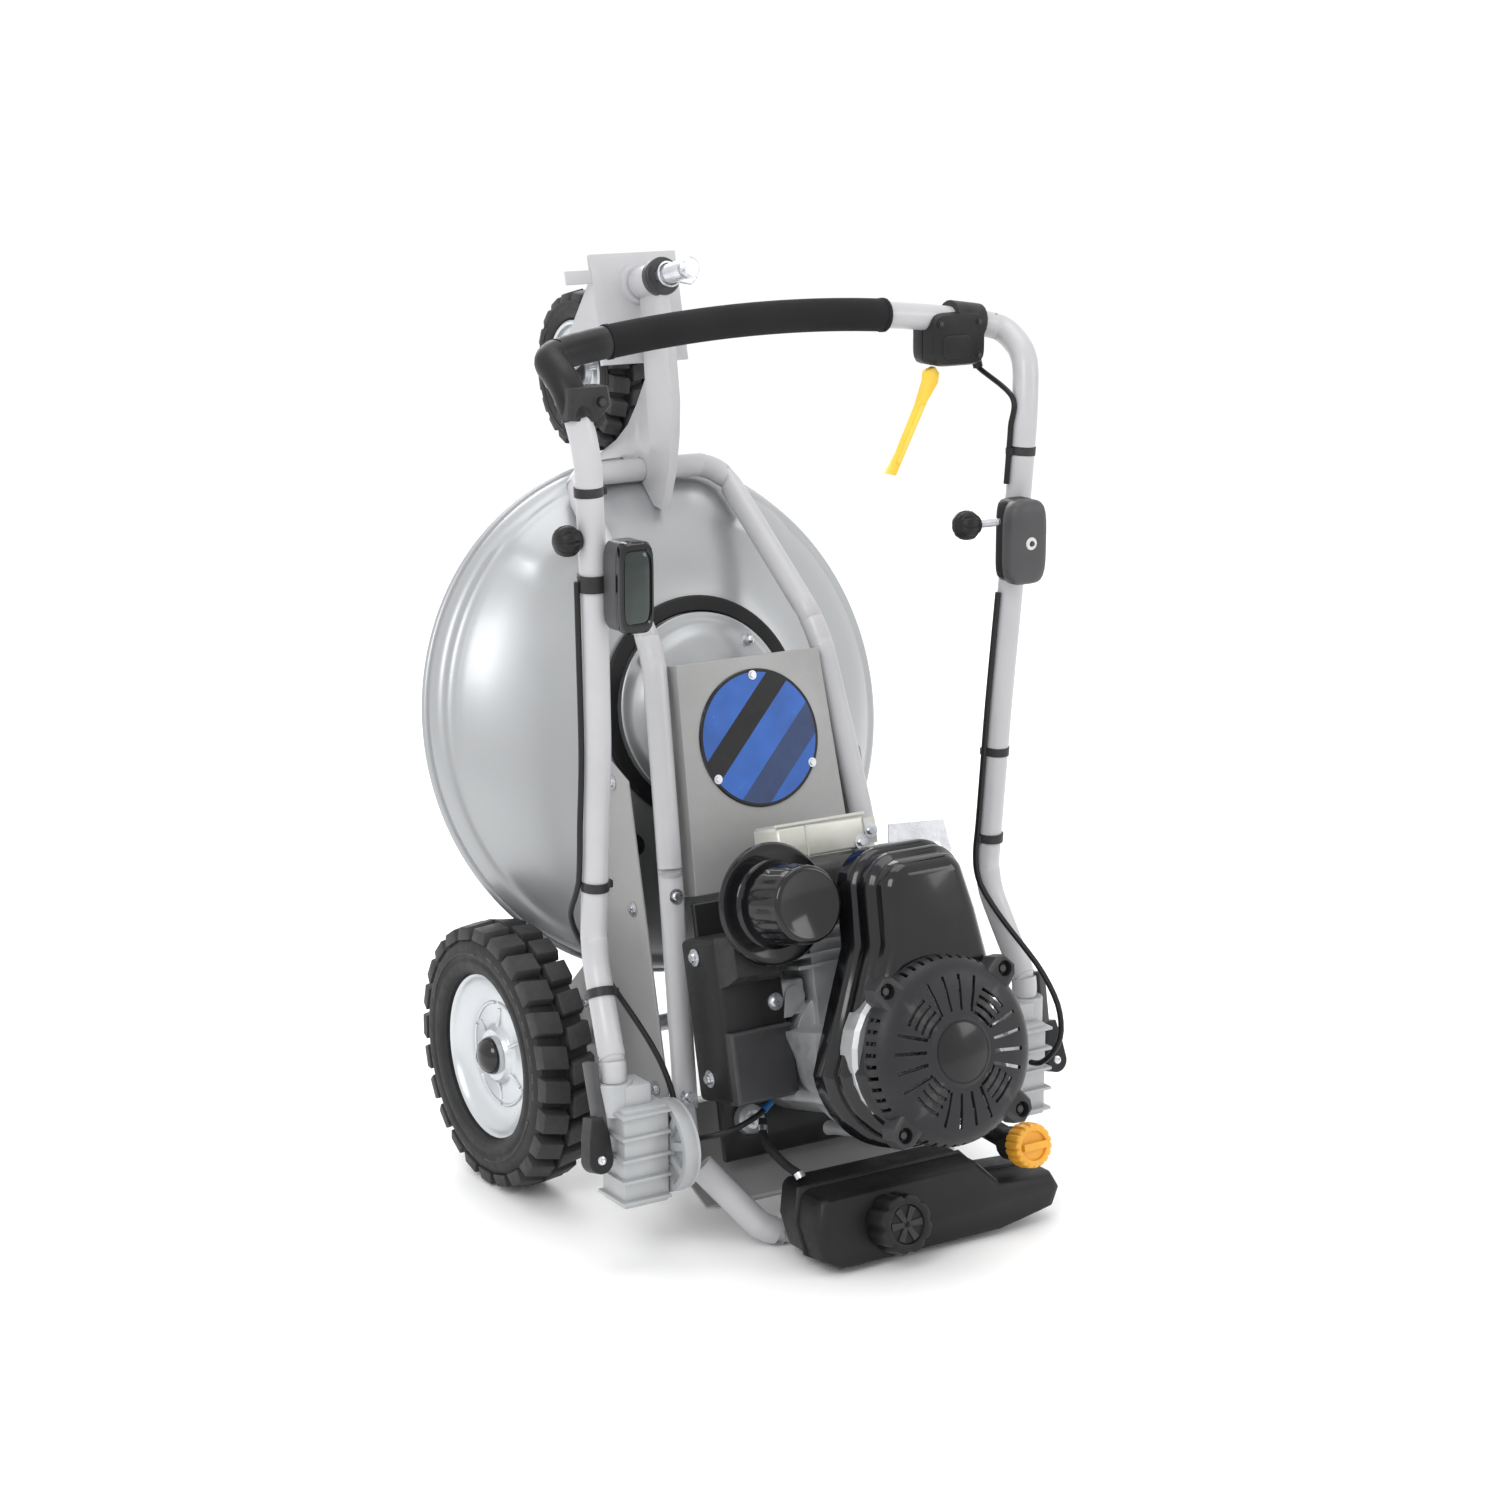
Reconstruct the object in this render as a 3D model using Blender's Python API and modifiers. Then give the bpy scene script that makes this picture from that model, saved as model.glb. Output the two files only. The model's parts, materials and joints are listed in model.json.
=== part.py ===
"""Walk-behind leaf blower, stood on end for storage.

The machine is drawn in its working stance: X to its right, Y forward, Z up, ground at z = 0.
Then one empty tips it back until it stands on its rear wheels and stand bar.
The handle is folded forward over the machine and is drawn in a frame of its own.
"""
import bpy
import bmesh
from math import acos, atan2, cos, degrees, pi, radians, sin
from mathutils import Matrix, Vector

# ---- driving dimensions, metres ----
LEAN = radians(13.5)               # the parked machine leans back from upright by this much
TUBE_R = 0.0125                    # chassis tube
HANDLE_TUBE_R = 0.01325
STAND_TUBE_R = 0.014
SHEET = 0.003                      # sheet metal
GAP = 0.0003                       # clearance between pieces that touch

AXLE_Y, AXLE_Z, AXLE_R = 0.291, 0.133, 0.010
REAR_TYRE_R, REAR_RIM_R, REAR_TYRE_W, REAR_WHEEL_X = 0.140, 0.088, 0.064, 0.2290
FRONT_TYRE_R, FRONT_RIM_R, FRONT_TYRE_W = 0.088, 0.055, 0.046
FRONT_Y, FRONT_Z = 0.998, 0.087
CASTER_Y = 1.072                   # caster's upright swivel axis

FAN_Y = 0.620                      # impeller axis
DOME_R, DOME_RIM_Z = 0.275, 0.128
CRANK_Y, CRANK_R, BLOCK_R = 0.270, 0.0125, 0.068
COWL_X = 0.018                     # the recoil cover sits a little to the right of the crank
DECK_Z = 0.333                     # underside of the engine plate
FAN_PULLEY_R, CRANK_PULLEY_R, PULLEY_Z = 0.036, 0.030, 0.301
COVER_FRONT, COVER_REAR, COVER_TOP = 0.670, 0.436, 0.336

HINGE_Y, HINGE_Z = 0.2061, 0.3924  # handle fold axis
HINGE_R, HINGE_FACE_X = 0.046, 0.204
BAR_Y, BAR_Z, BAR_ARCH = 0.789, -0.100, 0.330   # middle of the arched crossbar, in the handle's frame
BAR_STEP = 0.040                   # spacing of the crossbar's points
LEVER_X = 0.2765                   # clamp lever pin
STAND_X, STAND_Z = 0.100, 0.398
TANK_Z = 0.463                     # middle of the fuel tank, whose rear face leans with the floor
MACHINE_BACK = 0.3429              # the parked machine's ground line lies this far behind the front
DEPTH_MIDDLE = 0.1827              # shifts the parked machine so that its box is centred

# the floor line in the working frame: the wheels and the stand bar both touch it when parked
FLOOR = AXLE_Y * cos(LEAN) + AXLE_Z * sin(LEAN) - REAR_TYRE_R
STAND_Y = (FLOOR + STAND_TUBE_R - STAND_Z * sin(LEAN)) / cos(LEAN)

for old in list(bpy.data.objects):
    bpy.data.objects.remove(old)
parts = bpy.data.collections.new("walk_behind_leaf_blower")
cutters = bpy.data.collections.new("cutters")
bpy.context.scene.collection.children.link(parts)
bpy.context.scene.collection.children.link(cutters)


# ---- materials ----
def finish(name, colour, roughness, metallic=0.0):
    material = bpy.data.materials.new(name)
    material.use_nodes = True
    shader = material.node_tree.nodes["Principled BSDF"]
    shader.inputs["Base Color"].default_value = (*colour, 1.0)
    shader.inputs["Roughness"].default_value = roughness
    shader.inputs["Metallic"].default_value = metallic
    return material


silver_paint = finish("silver_paint", (0.72, 0.73, 0.74), 0.30, 0.5)
pale_paint = finish("pale_paint", (0.80, 0.80, 0.82), 0.35)
grey_paint = finish("grey_paint", (0.50, 0.50, 0.48), 0.40)
black_paint = finish("black_paint", (0.03, 0.03, 0.03), 0.35)
black_gloss = finish("black_gloss", (0.02, 0.02, 0.022), 0.15)
dark_plastic = finish("dark_plastic", (0.06, 0.06, 0.065), 0.50)
black_plastic = finish("black_plastic", (0.03, 0.03, 0.03), 0.45)
grey_plastic = finish("grey_plastic", (0.35, 0.35, 0.36), 0.45)
yellow_plastic = finish("yellow_plastic", (0.85, 0.55, 0.10), 0.35)
lever_yellow = finish("lever_yellow", (0.85, 0.80, 0.25), 0.40)
cast_alloy = finish("cast_alloy", (0.65, 0.66, 0.67), 0.45, 0.8)
steel = finish("steel", (0.62, 0.62, 0.64), 0.25, 1.0)
white_steel = finish("white_steel", (0.78, 0.78, 0.74), 0.40, 0.3)
tyre_rubber = finish("tyre_rubber", (0.045, 0.045, 0.048), 0.80)
foam_rubber = finish("foam_rubber", (0.03, 0.03, 0.03), 0.90)
belt_rubber = finish("belt_rubber", (0.025, 0.025, 0.025), 0.85)


# ---- making shapes ----
def piece(name, mesh, material):
    mesh.materials.clear()
    mesh.materials.append(material)
    obj = bpy.data.objects.new(name, mesh)
    parts.objects.link(obj)
    return obj


def baked(obj):
    """Replace an object with a plain mesh of its evaluated shape."""
    if obj.type == 'CURVE':
        obj.data.use_fill_caps = True
    bpy.context.view_layer.update()
    evaluated = obj.evaluated_get(bpy.context.evaluated_depsgraph_get())
    mesh = bpy.data.meshes.new_from_object(evaluated)
    work = bmesh.new()
    work.from_mesh(mesh)
    bmesh.ops.remove_doubles(work, verts=work.verts, dist=0.00001)
    bmesh.ops.recalc_face_normals(work, faces=work.faces)
    work.to_mesh(mesh)
    work.free()
    mesh.transform(obj.matrix_world)
    name, material = obj.name, obj.active_material
    bpy.data.objects.remove(obj)
    return piece(name, mesh, material)


def box(name, low, high, material, bevel=0.0, segments=2):
    size = [b - a for a, b in zip(low, high)]
    middle = [(a + b) / 2 for a, b in zip(low, high)]
    bpy.ops.mesh.primitive_cube_add(size=1.0)
    obj = bpy.context.object
    obj.data.transform(Matrix.Translation(middle) @ Matrix.Diagonal((*size, 1.0)))
    result = piece(name, obj.data, material)
    bpy.data.objects.remove(obj)
    if bevel:
        rounding = result.modifiers.new("rounding", 'BEVEL')
        rounding.width = bevel
        rounding.segments = segments
        result = baked(result)
    return result


TURN = {'X': Matrix.Rotation(pi / 2, 4, 'Y'), 'Y': Matrix.Rotation(-pi / 2, 4, 'X'), 'Z': Matrix.Identity(4)}


def rod(name, start, length, radius, axis, material, sides=24):
    """A cylinder that runs from start along +axis."""
    bpy.ops.mesh.primitive_cylinder_add(radius=radius, depth=length, vertices=sides)
    obj = bpy.context.object
    lift = Matrix.Translation((0, 0, length / 2))
    obj.data.transform(Matrix.Translation(start) @ TURN[axis] @ lift)
    result = piece(name, obj.data, material)
    bpy.data.objects.remove(obj)
    return result


def turned(name, profile, centre, axis, material, steps=40, closed=True):
    """Turn a profile of (radius, height) points about an axis through centre."""
    mesh = bpy.data.meshes.new(name)
    count = len(profile)
    edges = [(i, (i + 1) % count) for i in range(count if closed else count - 1)]
    mesh.from_pydata([(r, 0, z) for r, z in profile], edges, [])
    obj = piece(name, mesh, material)
    screw = obj.modifiers.new("turning", 'SCREW')
    screw.steps = screw.render_steps = steps
    screw.use_merge_vertices = True
    screw.merge_threshold = 0.00001
    obj = baked(obj)
    obj.data.transform(Matrix.Translation(centre) @ TURN[axis])
    return obj


def plate(name, outlines, start, thickness, axis, material):
    """A flat outline (with holes as further outlines) given thickness along +axis.

    Outline points are (y, z) for axis X, (x, z) for axis Y and (x, y) for axis Z.
    """
    curve = bpy.data.curves.new(name, 'CURVE')
    curve.dimensions = '2D'
    curve.fill_mode = 'BOTH'
    curve.extrude = thickness / 2
    for outline in outlines:
        spline = curve.splines.new('POLY')
        spline.points.add(len(outline) - 1)
        for point, (u, v) in zip(spline.points, outline):
            point.co = (u, v, 0, 1)
        spline.use_cyclic_u = True
    obj = bpy.data.objects.new(name, curve)
    curve.materials.append(material)
    parts.objects.link(obj)
    obj = baked(obj)
    middle = start + thickness / 2
    place = {
        'X': Matrix(((0, 0, 1, middle), (1, 0, 0, 0), (0, 1, 0, 0), (0, 0, 0, 1))),
        'Y': Matrix(((1, 0, 0, 0), (0, 0, -1, middle), (0, 1, 0, 0), (0, 0, 0, 1))),
        'Z': Matrix.Translation((0, 0, middle)),
    }[axis]
    obj.data.transform(place)
    return obj


def tube(name, points, radius, material, resolution=3):
    curve = bpy.data.curves.new(name, 'CURVE')
    curve.dimensions = '3D'
    curve.bevel_depth = radius
    curve.bevel_resolution = resolution
    curve.use_fill_caps = True
    spline = curve.splines.new('POLY')
    spline.points.add(len(points) - 1)
    for point, place in zip(spline.points, points):
        point.co = (*place, 1)
    obj = bpy.data.objects.new(name, curve)
    curve.materials.append(material)
    parts.objects.link(obj)
    return obj


def joined(main, *others, operation='UNION'):
    """Union the others into main, or cut them out of it."""
    for other in others:
        boolean = main.modifiers.new("joint", 'BOOLEAN')
        boolean.operation = operation
        boolean.solver = 'EXACT'
        boolean.object = other
        main = baked(main)
        bpy.data.objects.remove(other)
    return main


def cut(main, *others):
    return joined(main, *others, operation='DIFFERENCE')


# ---- outlines and routes ----
def arc(centre, radius, start, end, steps):
    """Points on an arc, angles in degrees."""
    angles = [radians(start + (end - start) * i / steps) for i in range(steps + 1)]
    return [(centre[0] + radius * cos(a), centre[1] + radius * sin(a)) for a in angles]


def rounded(points, radius, steps=4):
    """An open route whose inner corners are replaced with arcs of about this radius."""
    route = [Vector(points[0])]
    for before, corner, after in zip(points, points[1:], points[2:]):
        before, corner, after = Vector(before), Vector(corner), Vector(after)
        into, out = (before - corner).normalized(), (after - corner).normalized()
        reach = min(radius, (before - corner).length * 0.49, (after - corner).length * 0.49)
        a, b = corner + into * reach, corner + out * reach
        for i in range(steps + 1):
            t = i / steps
            route.append(a * (1 - t) ** 2 + corner * 2 * t * (1 - t) + b * t ** 2)
    route.append(Vector(points[-1]))
    return route


def smooth(points, steps=4):
    """A smooth curve through every point of a route."""
    knots = [Vector(p) for p in points]
    knots = [knots[0] * 2 - knots[1], *knots, knots[-1] * 2 - knots[-2]]
    route = []
    for a, b, c, d in zip(knots, knots[1:], knots[2:], knots[3:]):
        for i in range(steps):
            t = i / steps
            route.append(0.5 * (b * 2 + (c - a) * t + (a * 2 - b * 5 + c * 4 - d) * t ** 2
                                + (b * 3 - a - c * 3 + d) * t ** 3))
    route.append(knots[-2])
    return route


def wrap(near, near_r, far, far_r, steps=10):
    """The outline of a belt pulled round two circles on a line along Y."""
    half = degrees(acos((near_r - far_r) / (far - near)))
    far_side = arc((0, far), far_r, 90 - half, 90 + half, steps)
    return far_side + arc((0, near), near_r, 90 + half, 450 - half, steps)


def mirrored(points):
    """A route's left half, given from its end to its middle, with the right half added."""
    return points + [(-x, y, z) for x, y, z in reversed(points)]


# ---- the parked stance ----
def pivot(name, parent, place, turn=0.0):
    empty = bpy.data.objects.new(name, None)
    empty.empty_display_size = 0.03
    parts.objects.link(empty)
    empty.parent = parent
    empty.location = place
    empty.rotation_euler.x = turn
    return empty


machine = pivot("machine", None, (0, MACHINE_BACK * cos(LEAN) - DEPTH_MIDDLE, -FLOOR), pi / 2 - LEAN)
handle = pivot("handle_pivot", machine, (0, HINGE_Y, HINGE_Z), LEAN)
caster = pivot("caster_pivot", machine, (0, CASTER_Y, 0))
front_hub = pivot("front_wheel_pivot", caster, (0, FRONT_Y - CASTER_Y, FRONT_Z))
rear_hub = pivot("rear_wheel_pivot", machine, (0, AXLE_Y, AXLE_Z))
crank = pivot("crank_pivot", machine, (0, CRANK_Y, 0))
fan = pivot("fan_pivot", machine, (0, FAN_Y, 0))


def attach(obj, parent):
    """Hang a piece on an empty: its mesh was drawn in that empty's frame."""
    obj.parent = parent
    if obj.type == 'MESH':
        obj.data.shade_smooth()
        obj.data.set_sharp_from_angle(angle=radians(35))
    return obj


# ---- fan housing ----
def fan_housing():
    outer = [(0.080, 0.2300), (0.125, 0.2270), (0.165, 0.2150), (0.200, 0.2005), (0.230, 0.1830),
             (0.252, 0.1640), (0.268, 0.1455), (DOME_R, 0.1360), (DOME_R, DOME_RIM_Z)]
    inner = [(DOME_R - SHEET, DOME_RIM_Z), (DOME_R - SHEET, 0.1350), (0.2495, 0.1622), (0.2280, 0.1806),
             (0.1985, 0.1978), (0.1640, 0.2122), (0.1245, 0.2242), (0.080, 0.2272)]
    attach(turned("fan_housing", outer + inner, (0, FAN_Y, 0), 'Z', silver_paint, 44), machine)

    bottom = DOME_RIM_Z - GAP - 0.004
    flat_ring = [(0.030, bottom + 0.004), (DOME_R - 0.001, bottom + 0.004), (DOME_R - 0.001, bottom),
                 (0.030, bottom)]
    base = turned("base_plate", flat_ring, (0, FAN_Y, 0), 'Z', black_paint, 36)
    base = cut(base, box("outlet_hole", (0.125, 0.585, 0.10), (0.235, 0.655, 0.15), steel))
    duct = box("outlet_duct", (0.112, 0.575, 0.062), (0.262, 0.665, bottom + 0.002), steel)
    duct = cut(duct, box("duct_hollow", (0.1145, 0.5775, 0.0645), (0.30, 0.6625, bottom - 0.0005), steel),
               box("duct_top", (0.125, 0.585, 0.10), (0.235, 0.655, 0.15), steel))
    attach(joined(base, duct), machine)

    ring = [(0.1055, 0.2345), (0.1195, 0.2335), (0.1195, 0.2305), (0.1055, 0.2305)]
    attach(turned("intake_ring", ring, (0, FAN_Y, 0), 'Z', black_plastic, 36), machine)
    cap = turned("intake_cap", [(0.0305, 0.2620), (0.060, 0.2585), (0.080, 0.2500), (0.092, 0.2415),
                                (0.100, 0.2405), (0.100, 0.2380), (0.090, 0.2385), (0.079, 0.2470),
                                (0.059, 0.2555), (0.0305, 0.2590)], (0, FAN_Y, 0), 'Z', silver_paint, 32)
    legs = []
    for degrees in (49, 139, 229, 319):
        x, y = 0.088 * cos(radians(degrees)), 0.088 * sin(radians(degrees))
        legs.append(rod("cap_leg", (x, FAN_Y + y, 0.2303), 0.0110, 0.0055, 'Z', steel, 12))
    attach(joined(cap, *legs), machine)
    housing = [(0.0302, 0.2720), (0.0302, 0.1950), (0.0125, 0.1950), (0.0125, 0.2720)]
    attach(turned("spindle_housing", housing, (0, FAN_Y, 0), 'Z', cast_alloy, 24), machine)


# ---- what turns inside ----
def pulley(name, radius, parent, bore):
    groove = radius - 0.0065
    profile = [(bore, 0.013), (radius, 0.013), (radius, 0.010), (groove, 0.0065),
               (groove, -0.0065), (radius, -0.010), (radius, -0.013), (bore, -0.013)]
    attach(turned(name, profile, (0, 0, PULLEY_Z), 'Z', cast_alloy, 24), parent)


def fan_and_crank():
    attach(rod("fan_spindle", (0, 0, 0.1310), 0.191, 0.0120, 'Z', steel), fan)
    disc = turned("impeller", [(0.0124, 0.186), (0.030, 0.186), (0.030, 0.140), (0.235, 0.140),
                               (0.235, 0.137), (0.0124, 0.137)], (0, 0, 0), 'Z', cast_alloy, 32)
    blades = []
    for i in range(8):
        blade = box("blade", (0.070, -0.0015, 0.1385), (0.232, 0.0015, 0.168), cast_alloy)
        blade.data.transform(Matrix.Rotation(i * pi / 4 + pi / 80, 4, 'Z'))
        blades.append(blade)
    attach(joined(disc, *blades), fan)
    pulley("fan_pulley", FAN_PULLEY_R, fan, 0.0124)
    attach(rod("crankshaft", (0, 0, 0.2640), 0.300, CRANK_R, 'Z', steel), crank)
    pulley("engine_pulley", CRANK_PULLEY_R, crank, 0.0129)
    wheel = [(0.0129, 0.5610), (0.074, 0.5610), (0.078, 0.5570), (0.078, 0.5370), (0.0129, 0.5370)]
    attach(turned("flywheel", wheel, (0, 0, 0), 'Z', cast_alloy, 28), crank)
    outer = wrap(CRANK_Y, CRANK_PULLEY_R + 0.001, FAN_Y, FAN_PULLEY_R + 0.001)
    inner = wrap(CRANK_Y, CRANK_PULLEY_R - 0.006, FAN_Y, FAN_PULLEY_R - 0.006)
    attach(plate("drive_belt", [outer, inner], PULLEY_Z - 0.0055, 0.011, 'Z', belt_rubber), machine)


# ---- chassis ----
def chassis():
    half = [(-0.125, 0.224, 0.3100), (-0.119, 0.480, 0.3300), (-0.100, 0.690, 0.3180),
            (-0.091, 0.880, 0.1740)]
    hoop = rounded(mirrored(half), 0.035, 4)
    attach(tube("hoop_frame", hoop, TUBE_R, pale_paint, 2), machine)

    def trapezium(shrink, rear):
        front, wide, narrow = COVER_FRONT - shrink, 0.097 - shrink, 0.086 - shrink
        return [(-narrow, front), (-wide, rear), (wide, rear), (narrow, front)]

    cover = plate("belt_cover", [trapezium(0, COVER_REAR)], 0.268, COVER_TOP - 0.268, 'Z', grey_paint)
    cover = cut(cover, plate("cover_hollow", [trapezium(0.002, COVER_REAR - 0.01)], 0.260,
                             COVER_TOP - 0.262, 'Z', steel))
    attach(cover, machine)

    deck = box("engine_plate", (-0.104, 0.165, DECK_Z), (0.104, 0.430, DECK_Z + 0.006), black_paint, 0.002, 1)
    deck = cut(deck, rod("crank_hole", (0, CRANK_Y, 0.32), 0.03, 0.022, 'Z', steel))
    attach(deck, machine)

    side = [(0.222, 0.306), (0.216, 0.200), (0.255, 0.112), (0.300, 0.102), (0.345, 0.118), (0.372, 0.165),
            (0.405, 0.190), (0.450, 0.205), (0.500, 0.217), (0.585, 0.228), (0.592, 0.262), (0.560, 0.306)]
    hole = arc((AXLE_Y, AXLE_Z), AXLE_R + 0.0004, 0, 337.5, 15)
    for name, start in (("left_side_plate", -0.1425), ("right_side_plate", 0.1395)):
        attach(plate(name, [side, hole], start, SHEET, 'X', grey_paint), machine)

    slope = [(0.2120, 0.200), (0.2120, 0.240), (0.1250, 0.350), (0.1270, 0.368), (0.1300, 0.368),
             (0.1285, 0.3510), (0.2150, 0.2415), (0.2150, 0.200)]
    attach(plate("rear_panel", [slope], -0.1390, 0.2780, 'X', grey_paint), machine)
    attach(rod("rear_axle", (-0.2480, AXLE_Y, AXLE_Z), 0.4960, AXLE_R, 'X', steel), machine)

    leg = [(-0.152, 0.1740, 0.3720), (-STAND_X, STAND_Y, STAND_Z)]
    attach(tube("stand_bar", rounded(mirrored(leg), 0.022, 4), STAND_TUBE_R, pale_paint), machine)

    arm = [(0.834, 0.2075), (0.873, 0.2330), (0.910, 0.2480), (0.943, 0.2570), (0.995, 0.2620),
           (1.062, 0.2620), (1.062, 0.2180), (1.008, 0.2120), (0.972, 0.2070), (0.948, 0.1820),
           (0.930, 0.1590), (0.917, 0.1300), (0.906, 0.0850), (0.8975, 0.0820), (0.8975, 0.1380),
           (0.8840, 0.1575), (0.8640, 0.1760), (0.8400, 0.1920)]
    plate_arm = plate("caster_arm", [arm], -0.005, 0.010, 'X', pale_paint)
    bar_slot = tube("bar_slot", [(-0.03, 0.880, 0.1740), (0.03, 0.880, 0.1740)], TUBE_R + 0.001, steel)
    plate_arm = cut(plate_arm, baked(bar_slot))
    sleeve = rod("sleeve", (0, CASTER_Y, 0.2180), 0.0440, 0.0170, 'Z', pale_paint)
    plate_arm = joined(plate_arm, sleeve)
    plate_arm = cut(plate_arm, rod("sleeve_bore", (0, CASTER_Y, 0.20), 0.08, 0.0110, 'Z', steel))
    attach(plate_arm, machine)

    for side_name, sign in (("left", -1), ("right", 1)):
        inner, face, thick = 0.1430, HINGE_FACE_X - GAP, 0.014
        start = (min(sign * face, sign * (face - thick)), HINGE_Y, HINGE_Z)
        disc = rod("disc", start, thick, HINGE_R, 'X', cast_alloy, 32)
        low, high = sorted((sign * inner, sign * (face - thick + 0.002)))
        arm_block = box("hinge_arm", (low, 0.178, 0.300), (high, 0.236, 0.366), cast_alloy, 0.004, 1)
        half_hinge = joined(disc, arm_block)
        half_hinge.name = side_name + "_hinge_half"
        attach(half_hinge, machine)


# ---- engine ----
def engine():
    block = rod("engine_block", (0, CRANK_Y, 0.3393), 0.1000, BLOCK_R, 'Z', cast_alloy, 32)
    barrel = box("barrel", (-0.040, 0.270, 0.4045), (0.040, 0.3950, 0.4480), cast_alloy)
    neck = rod("neck", (0, CRANK_Y, 0.4300), 0.100, 0.040, 'Z', cast_alloy)
    fins = [box("fin", (-0.058, 0.3572 + i * 0.011, 0.4020), (0.058, 0.3607 + i * 0.011, 0.4520), cast_alloy)
            for i in range(4)]
    block = joined(block, barrel, neck, *fins)
    block = cut(block, rod("crank_bore", (0, CRANK_Y, 0.33), 0.25, CRANK_R + 0.0005, 'Z', steel))
    attach(block, machine)

    def outline(grow):
        rear = arc((0.005, CRANK_Y), 0.096 + grow, 185, 355, 14)
        front = arc((0.052, 0.436), 0.036 + grow, 20, 95, 5) + arc((0.006, 0.428), 0.044 + grow, 95, 170, 5)
        return rear + [(0.106 + grow, 0.345)] + front
    shroud = plate("engine_shroud", [outline(0.0)], 0.505, 0.068, 'Z', black_gloss)
    rounding = shroud.modifiers.new("rounding", 'BEVEL')
    rounding.width, rounding.segments, rounding.limit_method = 0.012, 3, 'ANGLE'
    rounding.angle_limit = radians(40)
    shroud = baked(shroud)
    shroud = cut(shroud, plate("shroud_hollow", [outline(-0.003)], 0.490, 0.0800, 'Z', steel),
                 rod("fan_hole", (COWL_X, CRANK_Y, 0.50), 0.10, 0.070, 'Z', steel, 36))
    attach(shroud, machine)

    bell = [(0.0, 0.6060), (0.030, 0.6060), (0.034, 0.6035), (0.072, 0.6005), (0.088, 0.5930),
            (0.093, 0.5840), (0.093, 0.5735), (0.0, 0.5735)]
    cover = turned("recoil_cover", bell, (COWL_X, CRANK_Y, 0), 'Z', dark_plastic, 36, closed=False)
    ears = []
    for degrees in (45, 135, 225, 315):
        ear = box("ear", (0.070, -0.014, 0.5735), (0.108, 0.014, 0.5870), dark_plastic, 0.003, 1)
        around = Matrix.Rotation(radians(degrees), 4, 'Z')
        ear.data.transform(Matrix.Translation((COWL_X, CRANK_Y, 0)) @ around)
        ears.append(ear)
    attach(joined(cover, *ears), machine)

    tank_outline = [(-0.104, 0.116), (-0.096, 0.147), (0.095, 0.147), (0.118, 0.124), (0.184, 0.120),
                    (0.192, 0.104), (0.182, 0.088), (0.100, 0.074), (-0.080, 0.074), (-0.098, 0.084)]
    tank = plate("fuel_tank", [tank_outline], 0.4260, 0.0740, 'Z', black_plastic)
    rounding = tank.modifiers.new("rounding", 'BEVEL')
    rounding.width, rounding.segments, rounding.limit_method = 0.010, 2, 'ANGLE'
    rounding.angle_limit = radians(60)
    tank = baked(tank)
    lean = sin(LEAN) / cos(LEAN)
    tank.data.transform(Matrix(((1, 0, 0, 0), (0, 1, -lean, TANK_Z * lean), (0, 0, 1, 0), (0, 0, 0, 1))))
    attach(tank, machine)
    cap_middle = (-0.020, 0.103)
    cap = rod("fuel_cap", (0, 0, 0.5003), 0.030, 0.031, 'Z', black_plastic, 24)
    cap.location = (*cap_middle, 0)
    attach(cap, machine)

    elbow = [(0.058, 0.230, 0.412), (0.100, 0.200, 0.428), (0.135, 0.168, 0.452), (0.150, 0.148, 0.484)]
    neck = baked(tube("oil_filler", smooth(elbow, 2), 0.012, black_plastic, 2))
    neck = joined(neck, rod("seat", (0.150, 0.147, 0.4760), 0.0220, 0.0170, 'Z', black_plastic, 20))
    neck = cut(neck, rod("block_side", (0, CRANK_Y, 0.33), 0.2, BLOCK_R + GAP, 'Z', steel, 32))
    attach(neck, machine)
    oil_cap = rod("oil_cap", (0, 0, 0.4983), 0.0230, 0.0210, 'Z', yellow_plastic, 24)
    oil_cap.location = (0.150, 0.147, 0)
    attach(oil_cap, machine)

    side, front = -0.088, 0.428
    flange = [(0.0, 0.4700), (0.056, 0.4700), (0.060, 0.4660), (0.060, 0.4560), (0.0, 0.4560)]
    base = turned("air_cleaner_base", flange, (side, front, 0), 'Z', black_gloss, 32, closed=False)
    attach(base, machine)
    cover = turned("air_cleaner_cover", [(0.0, 0.5330), (0.035, 0.5330), (0.038, 0.5300), (0.040, 0.4703),
                                         (0.0, 0.4703)], (side, front, 0), 'Z', black_gloss, 32, closed=False)
    attach(cover, machine)
    attach(box("air_box", (-0.144, 0.238, 0.3720), (-0.069, 0.400, 0.4380), black_plastic, 0.006, 2), machine)
    attach(box("muffler", (-0.038, 0.4040, 0.3900), (0.085, 0.4620, 0.4540), black_paint, 0.012, 2), machine)
    guard = box("muffler_guard", (-0.052, 0.4640, 0.3850), (0.052, 0.4980, 0.4320), white_steel, 0.003, 1)
    guard = cut(guard, box("guard_hollow", (-0.050, 0.46, 0.380), (0.050, 0.4960, 0.4300), steel))
    attach(guard, machine)


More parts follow.
